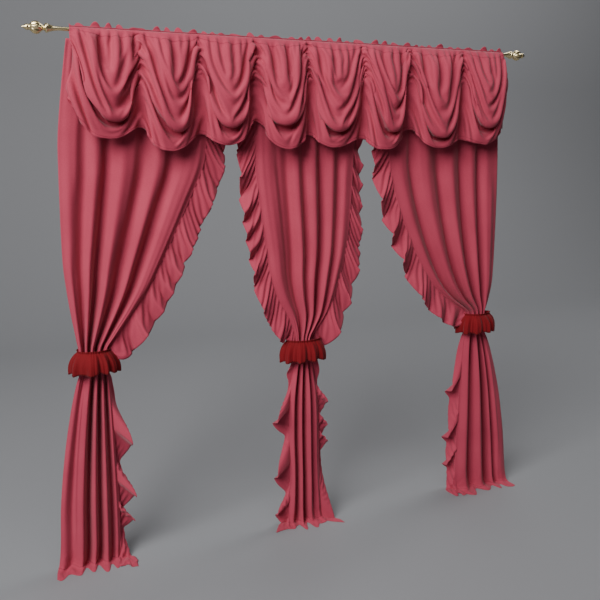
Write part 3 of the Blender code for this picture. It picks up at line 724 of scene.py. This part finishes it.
def fan_folds(body):
    """Folds that fan out from the foot of each gathered line."""
    for foot in SWAGS[1:-1]:
        aside, below = body[..., 0] - foot.start, -body[..., 2] - foot.gather_drop
        turned = np.arctan2(aside, below)
        fan = bump((np.hypot(aside, below) - 0.075) / 0.055) * (1 - rise(np.abs(turned), 0.9, 1.3))
        body[..., 1] += 0.007 * fan * np.cos(9 * turned + 0.5 * np.sin(40 * foot.start))


def uneven_gathers(run):
    """The height of the gathers under the pocket, along its run. The swags' own share makes them differ."""
    beat = run / 0.052 + 0.50 * np.sin(9.7 * run) + 0.30 * np.sin(23.1 * run + 1) + 0.15 * np.sin(41 * run)
    gathers = np.cos(2 * np.pi * beat) + 0.40 * np.cos(2 * np.pi * 2.3 * beat + 2 + 3 * np.sin(5 * run))
    return gathers * np.interp(run, run[::SWAG_COLUMNS] + 0.13, [swag.gathers for swag in SWAGS])


def evened(rough, times):
    """Random heights evened out with their neighbours."""
    for _ in range(times):
        rough = (rough + np.roll(rough, 1, 0) + np.roll(rough, 1, 1)
                 + np.roll(rough, -1, 0) + np.roll(rough, -1, 1)) / 5
    return rough


def heading_rows(x, wave, high):
    """The rod pocket and heading over each column, from the seam behind the rod to the one in front."""
    axis = 0 * x
    turns = [(math.cos(a), math.sin(a)) for a in np.radians(np.linspace(-70, 62, 8))]
    back = [(x, axis + POCKET_BACK * out, axis + POCKET_BACK * up) for out, up in turns]
    front = [(x, axis - POCKET_FRONT * out, axis + POCKET_FRONT * up) for out, up in turns[::-1]]
    rising, falling = [[(x, side * 0.0014 + wave * part, 0.012 + (high - 0.012) * part) for part in parts]
                       for side, parts in ((1, (0.45, 0.75, 0.95)), (-1, (0.95, 0.75, 0.45)))]
    rows = [(x, axis + 0.0016, axis - STITCH_DROP), *back, *rising, (x, wave, high), *falling, *front]
    return np.moveaxis(np.array(rows), 1, 2)


def dress_heading(x_top, gathers, material):
    """The rod pocket with its standing heading, whose petals lean forward and back by turns."""
    run = x_top - x_top[0]
    beat = run / 0.057 + 0.33 * np.sin(11 * run) + 0.22 * np.sin(29 * run + 1)
    number = np.round(beat)
    petal = np.maximum(0.0, (np.cos(2 * np.pi * (beat - number)) + 0.30) / 1.30) ** 0.62
    size = 0.68 + 0.32 * np.sin(2.4 * number + 0.7 * number ** 2)
    wave = 0.009 * np.sign(np.sin(1.9 * number + 0.5)) * petal * size + 0.0012 * np.sin(90 * run)
    high = 0.0155 + 0.019 * size * petal + 0.0020 * np.sin(83 * run) * petal
    top = heading_rows(x_top, wave, high)
    top[1:9, :, 1] += 0.0008 * gathers
    top[-8:, :, 1] -= 0.0006 * gathers
    last = np.stack([x_top, 0 * x_top - 0.004, 0 * x_top - STITCH_DROP], axis=-1)[None]
    heading = cloth_piece("cloth_heading", np.concatenate([top, last]), HEADING_CLOTH, material)
    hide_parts("valance")
    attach(heading, "root")
    return heading


def dress_valance(material):
    """Eight swags in one cloth, drawn up at seven gathered lines, with the heading above them."""
    rng = np.random.default_rng(VALANCE_SEED)
    body = valance_grid()
    rows, columns = body.shape[:2]
    column = np.arange(columns)
    line = np.round(column / SWAG_COLUMNS).astype(int)
    away = np.abs(column - line * SWAG_COLUMNS) / SWAG_COLUMNS
    inner = (line > 0) & (line < len(SWAGS) - 1)
    gather_line = (away < 1e-9) & inner
    shirred = np.where(inner, 1.0, 0.35)[None, :]
    down = np.concatenate([np.linspace(0, 1, POUF_ROWS), 1 + np.linspace(0, 1, BAND_ROWS + 1)[1:]])[:, None]
    x_top = body[0, :, 0].copy()
    fan_folds(body)
    plain_across, plain_down = spacing(body, 1), spacing(body, 0)
    middle = 1 - bump(away / 0.22)[None, :]

    # Gathers run down from the pocket and fade into the balloons
    run = x_top - x_top[0]
    gathers = uneven_gathers(run)
    fade = (1 - 0.92 * rise(down, 0.15, 0.75)) * (1 - 0.8 * rise(down, 0.95, 1.1))
    deep = 0.0036 * rise(-body[..., 2], -0.010, 0.002) + 0.0066 * rise(-body[..., 2], 0.002, 0.050)
    body[..., 1] -= deep * fade * (gathers + 0.5)[None, :]
    # Loose folds sag between the feet of the gathered lines
    slump = down + 0.16 * np.sin(5.3 * run + 1)[None, :]
    sagging = 0.0045 * (1 + 0.8 * np.sin(4.3 * run + 2))[None, :]
    body[..., 1] -= sagging * middle * np.cos(2 * np.pi * slump / 0.42) * window(down, 0.50, 1.0, 0.20)
    body[..., 1] -= 1.3 * sagging * middle * np.cos(2 * np.pi * slump / 0.55) * window(down, 1.3, 2.0, 0.20)
    beside = bump(away / 0.100)[None, :] * window(down, 0.05, 1.08, 0.12) * shirred
    rough = evened(rng.normal(0, 1, (rows, columns, 3)), 16)
    body = body + 0.0035 * rough / rough.std() * rise(down, 0.04, 0.20)[..., None]

    # Slack beside the gathered lines and in the balloons, and fullness across under the pocket
    slack = (0.06 + 0.05 * np.sin(6.1 * run))[None, :] * middle * window(down, 0.50, 2.0, 0.3)
    slack = 1 + 0.35 * beside + slack
    rest_down = plain_down * ((slack[1:] + slack[:-1]) / 2)
    share = (0.30 + 0.14 * np.sin(8.3 * run))[None, :]
    share = 1 + share * rise(down, 0.0, 0.15) * (1 - rise(down, 0.20, 0.72))
    rest_across = plain_across * (share[:, 1:] + share[:, :-1]) / 2
    # The head is held, and the gathered lines and the pocket pull the cloth back to where it starts
    held = np.zeros((rows, columns), dtype=bool)
    held[0] = True
    pull = 0.0020 + 0.010 * rise(down, 1.9, 2.0) * np.ones((1, columns))
    pull = pull + gather_line[None, :] * (0.15 - 0.09 * rise(down, 0.95, 1.1))
    pull = pull + 0.30 * (1 - rise(-body[..., 2], 0.018, 0.032))
    pull = pull + 0.01 * bump(away / 0.03)[None, :] + 0.006 * bump((down - 1.06) / 0.14) * middle
    # The cloth stays in front of the rod's pocket above and the panels below
    level = np.linspace(0, 1, rows)
    nearest = POCKET_FRONT * rise(level, 0.0, 0.02) + 0.020 * rise(level, 0.04, 0.30)
    nearest_wall = -nearest[:, None].astype(np.float32)

    def stop(now):
        wall = nearest_wall if len(now) == rows else nearest_wall[::2]
        np.minimum(now[..., 1], wall, out=now[..., 1])
        np.maximum(now[..., 1], FORWARD_LIMIT, out=now[..., 1])

    rounds = ((700, 400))
    body = settle_broadly(body, rest_across, rest_down, held, pull, rounds, VALANCE_WEIGHT, VALANCE_GRAIN,
                          bend=0.40, broad=0.22, stop=stop)
    # Puckers stand beside the gathered lines
    wander = 2.0 * np.sin(19 * run)[None, :] + 3 * np.sin(5 * down + line[None, :])
    body[..., 1] -= 0.005 * np.sin(2 * np.pi * down * 8 + wander) * beside
    body[..., 0] += 0.003 * np.sin(2 * np.pi * down * 7 + 2 * line[None, :]) * beside
    puckered = 1 + 0.30 * beside
    rest_down = rest_down * (puckered[1:] + puckered[:-1]) / 2
    body = settle(body, rest_across, rest_down, held, pull, rounds[0] // 4, VALANCE_WEIGHT, VALANCE_GRAIN,
                  bend=0.35, broad=0.05, stop=stop)
    body = soften(body, 2)

    heading = dress_heading(x_top, gathers, material)
    flat = (round(area_of(body) / VALANCE_LENGTH, 2), VALANCE_LENGTH)
    piece = cloth_piece("cloth_valance", body, flat, material)
    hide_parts("valance")
    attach(piece, "root")
    lower_row = int(np.argmin(np.abs(body[:, :, 2].mean(axis=1) + POCKET_STITCH_DROP)))
    forward, upward = (0.0, -1.0, 0.0), (0.0, -1.0, 1.0)
    # The first list is the seam under the heading, whose stitches also paint the groove's shade.
    return [on_face(body, 0, upward)], [on_face(body, row, forward) for row in (lower_row, -3)]


# Ties

TIE_AROUND, TIE_ROWS = 300, 26
TIE_WIDTH = 0.115
TIE_WEIGHT = 2e-6
TIE_SEED = 20


def dress_tie(name, tie, seed, material):
    """A ruffled band: gathered along its waist, with a short ruffle above and a fuller one below."""
    rng = np.random.default_rng(seed)
    level = np.linspace(0, 1, TIE_ROWS)[:, None]
    angle = np.linspace(np.pi / 2, 5 * np.pi / 2, TIE_AROUND + 1)[None, :]
    waist = 0.13
    open_up = np.clip((waist - level) / waist, 0, 1)
    open_down = np.clip((level - waist) / (1 - waist), 0, 1)
    puff = np.sin(0.56 * np.pi * open_down ** 0.80)
    turn = 10 * angle + 1.1 * np.sin(2 * angle + rng.uniform(0, 6))
    turn = turn + 0.9 * np.sin(3 * angle + rng.uniform(0, 6))
    crest = 0.5 + 0.5 * np.cos(turn) + 0.16 * np.cos(2.6 * turn + 1)
    fine = np.sin(4.3 * turn + 2 * np.sin(turn))
    spread = 0.0030 + 0.004 * open_up + (1.20 * tie.flare + 0.008) * puff * (0.62 + 0.38 * crest)
    spread = spread + 0.0014 * fine * np.exp(-np.abs(level - waist) / 0.22)
    bunched = (0.4 + 0.6 * crest) * np.maximum(0.0, np.cos(angle)) ** 4 * (1 - 0.6 * level)
    spread = spread + tie.bunch * bunched
    hug_x, hug_y = tie.inner_x - 0.013, tie.inner_y - 0.009
    x = tie.x + (hug_x + spread) * np.cos(angle)
    y = (hug_y + spread) * np.sin(angle)
    hem_wave = 0.0045 * np.cos(turn + 0.6) + 0.005 * np.sin(2 * angle + 1)
    z = -(tie.top + (tie.bottom - tie.top) * level ** 1.15) - hem_wave * open_down ** 1.5 + 0 * angle
    start = np.stack([x, y, z], axis=-1)
    full = 1 + 0.10 * np.clip(1.6 * open_down + open_up, 0, 1)
    rest_across = spacing(start, 1) * full
    rest_down = 1.03 * spacing(start, 0)
    held = np.zeros(start.shape[:2], dtype=bool)
    held[np.argmin(np.abs(level[:, 0] - waist))] = True
    held[:, 0] = held[:, -1] = True
    round_x, round_y = hug_x + 0.001, hug_y + 0.001

    def stop(now):
        dx, dy = now[..., 0] - tie.x, now[..., 1]
        inside = np.sqrt((dx / round_x) ** 2 + (dy / round_y) ** 2) + 1e-6
        grow = np.maximum(1.0, 1.0 / inside)
        now[..., 0] = tie.x + dx * grow
        now[..., 1] = dy * grow

    rounds = 160
    points = settle(start, rest_across, rest_down, held, 0.02 + 0 * x, rounds, TIE_WEIGHT,
                    bend=0.30, broad=0.20, stop=stop)
    points = soften(points, 2)
    points[:, -1] = points[:, 0]
    flat = (round(area_of(points) / TIE_WIDTH, 2), TIE_WIDTH)
    piece = cloth_piece("cloth_" + name, points, flat, material, closed=True)
    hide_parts(name)
    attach(piece, "root")
    away = np.stack([np.cos(angle[0]), np.sin(angle[0]), 0 * angle[0]], axis=1)
    return [on_face(points, row, away) for row in (int(np.argmin(np.abs(level[:, 0] - waist))), -2)]


# Nodes

def feed(tree, made, feeds):
    """Gives each input of a node its value, or links it to the node or output that feeds it."""
    for key, value in feeds.items():
        if isinstance(value, bpy.types.Node):
            value = value.outputs[0]
        if isinstance(value, bpy.types.NodeSocket):
            tree.links.new(value, made.inputs[key])
        else:
            made.inputs[key].default_value = value


def node(tree, kind, feeds=None, **settings):
    """Adds a node with its settings and what feeds it."""
    made = tree.nodes.new(kind)
    for key, value in settings.items():
        setattr(made, key, value)
    feed(tree, made, feeds or {})
    return made


def group_sockets(group, way, sockets):
    """Adds inputs or outputs to a group of nodes, each by its name and kind."""
    for name, kind in sockets.items():
        group.interface.new_socket(name=name, in_out=way, socket_type="NodeSocket" + kind)


# Stitches

SEAM_STITCH = Stitch(0.0050, (0.0038, 0.0009, 0.0009))
# The heading's row of stitches is made thick and dark so that it also paints the shade of the groove
# between the pocket and the petals: real stitches and painted shade at once.
HEADING_STITCH_AND_SEAM_SHADE = Stitch(0.0046, (0.0043, 0.0014, 0.0026))


def stitch_tree():
    """Lays one short thread after another along a curve, each turned along it."""
    tree = bpy.data.node_groups.new("row of stitches", "GeometryNodeTree")
    group_sockets(tree, "INPUT", {"Seam": "Geometry", "Stitch step": "Float", "Stitch size": "Vector",
                                  "Thread": "Material"})
    group_sockets(tree, "OUTPUT", {"Stitches": "Geometry"})
    given = node(tree, "NodeGroupInput").outputs
    places = node(tree, "GeometryNodeResampleCurve",
                  {"Curve": given["Seam"], "Length": given["Stitch step"]}, mode="LENGTH")
    stitch = node(tree, "GeometryNodeMeshCube", {"Size": given["Stitch size"]})
    along = node(tree, "GeometryNodeInputTangent")
    turned = node(tree, "FunctionNodeAlignEulerToVector", {"Vector": along}, axis="X")
    laid = node(tree, "GeometryNodeInstanceOnPoints",
                {"Points": places, "Instance": stitch, "Rotation": turned})
    real = node(tree, "GeometryNodeRealizeInstances", {"Geometry": laid})
    dyed = node(tree, "GeometryNodeSetMaterial", {"Geometry": real, "Material": given["Thread"]})
    node(tree, "NodeGroupOutput", {"Stitches": dyed})
    return tree


def sew(name, seams, tree, stitch, thread):
    """Rows of stitches along seams, each a list of points on the face of the cloth."""
    curve = bpy.data.curves.new(name, "CURVE")
    curve.dimensions = "3D"
    for seam in seams:
        line = curve.splines.new("POLY")
        line.points.add(len(seam) - 1)
        line.points.foreach_set("co", np.concatenate([seam, np.ones((len(seam), 1))], axis=1).ravel())
    holder = add_object(name, curve)
    rows = holder.modifiers.new("stitches", "NODES")
    rows.node_group = tree
    sockets = {item.name: item.identifier for item in tree.interface.items_tree if item.in_out == "INPUT"}
    for socket, value in {"Stitch step": stitch.step, "Stitch size": stitch.size, "Thread": thread}.items():
        rows[sockets[socket]] = value
    mesh = finished_mesh(holder, name, thread)
    bpy.data.objects.remove(holder, do_unlink=True)
    bpy.data.curves.remove(curve)
    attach(add_object(name, mesh), "root")


def on_face(points, row, outward):
    """The points of one row of a grid of cloth, moved to the face of the cloth on the outward side."""
    row = range(len(points))[row]
    along = np.gradient(points[row], axis=0)
    down = points[min(row + 1, len(points) - 1)] - points[max(row - 1, 0)]
    face = np.cross(along, down)
    face /= np.linalg.norm(face, axis=1)[:, None] + 1e-9
    face *= np.where((face * outward).sum(axis=1) < 0, -1.0, 1.0)[:, None]
    return points[row] + face * (CLOTH / 2 + 0.0002)


# Brass

FINIAL_PROFILE = [
    (0.000, 0.0086), (0.010, 0.0095), (0.020, 0.0115), (0.032, 0.0155), (0.036, 0.0168), (0.038, 0.0185),
    (0.042, 0.0192), (0.046, 0.0183), (0.048, 0.0150), (0.052, 0.0110), (0.055, 0.0105), (0.058, 0.0125),
    (0.062, 0.0155), (0.072, 0.0215), (0.083, 0.0240), (0.096, 0.0212), (0.104, 0.0155), (0.109, 0.0120),
    (0.112, 0.0112), (0.116, 0.0128), (0.121, 0.0122), (0.127, 0.0085), (0.134, 0.0040), (0.1405, 0.0004),
]


def dress_finial(name, side, material):
    """A turned finial whose bulb has winding lobes, at the left for a side of -1 and the right for 1."""
    profile = np.array(FINIAL_PROFILE)
    places = np.linspace(0, len(profile) - 1, 130)
    rows = through_rows(profile, places)
    turn = np.linspace(0, 2 * np.pi, 97)[None, :]
    length, radius = rows[:, 0][:, None], np.maximum(rows[:, 1][:, None], 0.0003)
    bulb = window(length, 0.056, 0.110, 0.018)
    bell = window(length, 0.004, 0.037, 0.012)
    lobes = np.cos(8 * (turn + 9.0 * (length - 0.083)))
    radius = radius * (1 + 0.085 * bulb * lobes + 0.02 * bell * np.cos(8 * turn))
    x = side * (ROD_REACH + FINIAL_GAP + length) + 0 * turn
    points = np.stack([x, radius * np.cos(turn), radius * np.sin(turn)], axis=-1)
    if side < 0:
        points = points[:, ::-1]
    mesh = grid_mesh(name, points, flat=(0.1, 0.15), closed=True)
    piece = add_object("brass_" + name, mesh)
    shape = bmesh.new()
    shape.from_mesh(mesh)
    bmesh.ops.holes_fill(shape, edges=[e for e in shape.edges if e.is_boundary], sides=200)
    bmesh.ops.recalc_face_normals(shape, faces=shape.faces)
    shape.to_mesh(mesh)
    shape.free()
    mesh.shade_smooth()
    mesh.set_sharp_from_angle(angle=math.radians(50))
    mesh.materials.append(material)
    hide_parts(name)
    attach(piece, "root")


# Materials

# Each cloth's dark, middle and light shades
ROSE_SHADES = (0.35, 0.034, 0.066), (0.41, 0.044, 0.081), (0.47, 0.057, 0.098)
DARK_RED_SHADES = (0.125, 0.001, 0.003), (0.165, 0.0015, 0.005), (0.205, 0.002, 0.007)
THREADS_PER_METRE = 1400
THREAD_FINISH = {"Roughness": 0.9, "Specular IOR Level": 0.1}


def new_material(name):
    """A material with its node tree and its shader."""
    material = bpy.data.materials.new(name)
    material.use_nodes = True
    return material, material.node_tree, material.node_tree.nodes["Principled BSDF"]


def plain_material(name, colour, finish):
    """A material of one colour and finish."""
    material, tree, shader = new_material(name)
    feed(tree, shader, {"Base Color": (*colour, 1.0), **finish})
    return material


def shade_ramp(tree, value, stops):
    """Shades from a value, by two or more pairs of a position and a colour."""
    ramp = node(tree, "ShaderNodeValToRGB", {0: value})
    shades = ramp.color_ramp.elements
    for end, (position, colour) in zip(shades, (stops[0], stops[-1])):
        end.position, end.color = position, (*colour, 1.0)
    for position, colour in stops[1:-1]:
        shades.new(position).color = (*colour, 1.0)
    return ramp


def weave_group():
    """Plain weave in metres of flat cloth: thread height, and a fine uneven shade."""
    group = bpy.data.node_groups.new("plain weave", "ShaderNodeTree")
    group_sockets(group, "INPUT", {"Cloth place": "Vector", "Threads per metre": "Float"})
    group_sockets(group, "OUTPUT", {"Height": "Float", "Shade": "Float"})
    given = node(group, "NodeGroupInput").outputs
    threads = node(group, "ShaderNodeVectorMath",
                   {0: given["Cloth place"], "Scale": given["Threads per metre"]}, operation="SCALE")
    ways = node(group, "ShaderNodeSeparateXYZ", {0: threads}).outputs
    turns = [node(group, "ShaderNodeMath", {0: ways[way], 1: math.pi}, operation="MULTIPLY")
             for way in ("X", "Y")]
    waves = [node(group, "ShaderNodeMath", {0: turn}, operation="SINE") for turn in turns]
    crossed = node(group, "ShaderNodeMath", {0: waves[0], 1: waves[1]}, operation="MULTIPLY")
    slub = node(group, "ShaderNodeTexNoise", {"Vector": threads, "Scale": 0.16, "Detail": 3.0})
    height = node(group, "ShaderNodeMath", {0: crossed, 1: 0.5, 2: slub}, operation="MULTIPLY_ADD")
    node(group, "NodeGroupOutput", {"Height": height, "Shade": slub})
    return group


def cloth_material(name, weave, shades, sheen):
    """Woven cloth in three shades, uneven from its slubs and from its dyeing."""
    material, tree, shader = new_material(name)
    place = node(tree, "ShaderNodeUVMap", uv_map="cloth")
    woven = node(tree, "ShaderNodeGroup", node_tree=weave)
    feed(tree, woven, {"Threads per metre": THREADS_PER_METRE, "Cloth place": place})
    whole = node(tree, "ShaderNodeTexCoord").outputs["Object"]
    dyeing = node(tree, "ShaderNodeTexNoise", {"Vector": whole, "Scale": 5.0, "Detail": 3.0})
    dyed_share = node(tree, "ShaderNodeMath", {0: dyeing, 1: 0.45}, operation="MULTIPLY")
    uneven = node(tree, "ShaderNodeMath", {0: woven.outputs["Shade"], 1: 0.55, 2: dyed_share},
                  operation="MULTIPLY_ADD")
    raised = node(tree, "ShaderNodeBump",
                  {"Strength": 0.35, "Distance": 0.0004, "Height": woven.outputs["Height"]})
    feed(tree, shader, {
        "Base Color": shade_ramp(tree, uneven, list(zip((0.30, 0.50, 0.72), shades))),
        "Normal": raised,
        "Roughness": 0.82,
        "Sheen Weight": sheen,
        "Sheen Roughness": 0.45,
        "Specular IOR Level": 0.25,
    })
    return material


def brass_material():
    """Polished brass, with faint streaks along the rod in its tone and its shine."""
    material, tree, shader = new_material("polished_brass")
    whole = node(tree, "ShaderNodeTexCoord").outputs["Object"]
    stretched = node(tree, "ShaderNodeMapping", {"Vector": whole, "Scale": (4.0, 90.0, 90.0)})
    tarnish = node(tree, "ShaderNodeTexNoise", {"Vector": stretched, "Scale": 3.0, "Detail": 5.0})
    tone = shade_ramp(tree, tarnish, [(0.35, (0.83, 0.65, 0.31)), (0.70, (0.97, 0.84, 0.52))])
    shine = node(tree, "ShaderNodeMapRange", {"Value": tarnish, "To Min": 0.20, "To Max": 0.34})
    feed(tree, shader, {"Metallic": 1.0, "Base Color": tone, "Roughness": shine})
    return material


# Floor, light and camera

CAMERA_PLACE = (-1.3765, -3.3301, -0.5000)
CAMERA_TURN = 21.926
CAMERA_DIP = 11.621
PHOTO_FOCAL_PIXELS = 724.26
PHOTO_PIXELS = 600
SENSOR = 36.0

# The floor's near end, the backdrop's place, the floor's half width, its bend and the backdrop's top
FLOOR_NEAR, FLOOR_FAR, FLOOR_SIDE, FLOOR_BEND, BACKDROP_TOP = -30.0, 7.0, 60.0, 3.0, 9.0

# Each light's name, place, aim, width, height and power
SOFTBOXES = [
    ("key_light", (-5.2, -3.9, 3.2), (0.0, 0.0, 0.5), 4.6, 4.6, 850),
    ("backdrop_light", (5.0, 1.6, 5.2), (4.0, 7.0, -1.2), 5.0, 2.5, 300),
    ("rear_light", (3.0, 4.5, 4.2), (0.3, 0.0, -1.0), 4.0, 2.0, 60),
    ("floor_light", (-0.9, -2.6, 4.2), (-0.9, -1.2, -2.4), 3.5, 2.5, 75),
]


def studio():
    """A pale floor that bends up into a backdrop, soft lights, and the photo's camera."""
    outline = [(FLOOR_NEAR, 0.0), (FLOOR_FAR - FLOOR_BEND, 0.0)]
    for a in np.radians(range(6, 91, 6)).tolist():
        outline.append((FLOOR_FAR - FLOOR_BEND * (1 - math.sin(a)), FLOOR_BEND * (1 - math.cos(a))))
    outline.append((FLOOR_FAR, BACKDROP_TOP))
    corners = [(x, y, z - FLOOR_DROP) for y, z in outline for x in (-FLOOR_SIDE, FLOOR_SIDE)]
    faces = [(2 * i, 2 * i + 1, 2 * i + 3, 2 * i + 2) for i in range(len(outline) - 1)]
    ground = bpy.data.meshes.new("studio_floor")
    ground.from_pydata(corners, [], faces)
    ground.shade_smooth()
    ground.materials.append(plain_material("pale_floor", (0.232, 0.235, 0.246), {"Roughness": 0.7}))
    add_object("studio_floor", ground)

    for name, place, aim, width, height, power in SOFTBOXES:
        lamp = bpy.data.lights.new(name, "AREA")
        lamp.shape = "RECTANGLE"
        lamp.size, lamp.size_y, lamp.energy = width, height, power
        holder = add_object(name, lamp)
        holder.location = place
        holder.rotation_euler = (Vector(aim) - Vector(place)).to_track_quat("-Z", "Y").to_euler()

    world = bpy.data.worlds.new("studio_air")
    world.use_nodes = True
    sky = {"Color": (0.9, 0.92, 0.95, 1.0), "Strength": 0.05}
    feed(world.node_tree, world.node_tree.nodes["Background"], sky)
    bpy.context.scene.world = world

    lens = bpy.data.cameras.new("photo_camera")
    lens.sensor_width = SENSOR
    lens.lens = SENSOR * PHOTO_FOCAL_PIXELS / PHOTO_PIXELS
    camera = add_object("photo_camera", lens)
    camera.location = CAMERA_PLACE
    camera.rotation_euler = (math.radians(90 - CAMERA_DIP), 0.0, math.radians(-CAMERA_TURN))
    bpy.context.scene.camera = camera


def main():
    weave = weave_group()
    rose = cloth_material("rose_weave", weave, ROSE_SHADES, 0.15)
    red = cloth_material("dark_red_weave", weave, DARK_RED_SHADES, 0.08)
    brass = brass_material()
    # The rose thread is much darker than the cloth so that the heading's stitches read as the seam's shade:
    # thread colour and painted shade at once.
    thread = plain_material("rose_thread_and_seam_shade", (0.13, 0.010, 0.021), THREAD_FINISH)
    red_thread = plain_material("dark_red_thread", (0.05, 0.001, 0.002), THREAD_FINISH)

    seams, tie_seams = [], []
    for name, panel in PANELS.items():
        seams += dress_panel(name, panel, rose)
    for name, frill in FRILLS.items():
        dress_frill(name, frill, LEAVES[name], rose)
    heading_seams, valance_seams = dress_valance(rose)
    for number, (name, tie) in enumerate(TIES.items()):
        tie_seams += dress_tie(name, tie, TIE_SEED + number, red)
    tree = stitch_tree()
    sew("stitches", seams + valance_seams, tree, SEAM_STITCH, thread)
    # The heading's stitches are real stitches and also a painted shade line along the groove under the
    # petals.
    sew("heading_stitches_and_seam_shade", heading_seams, tree, HEADING_STITCH_AND_SEAM_SHADE, thread)
    sew("tie_stitches", tie_seams, tree, SEAM_STITCH, red_thread)
    dress_finial("finial_left", -1, brass)
    dress_finial("finial_right", 1, brass)
    for slot in bpy.data.objects["rod"].material_slots:
        slot.material = brass
    studio()


main()
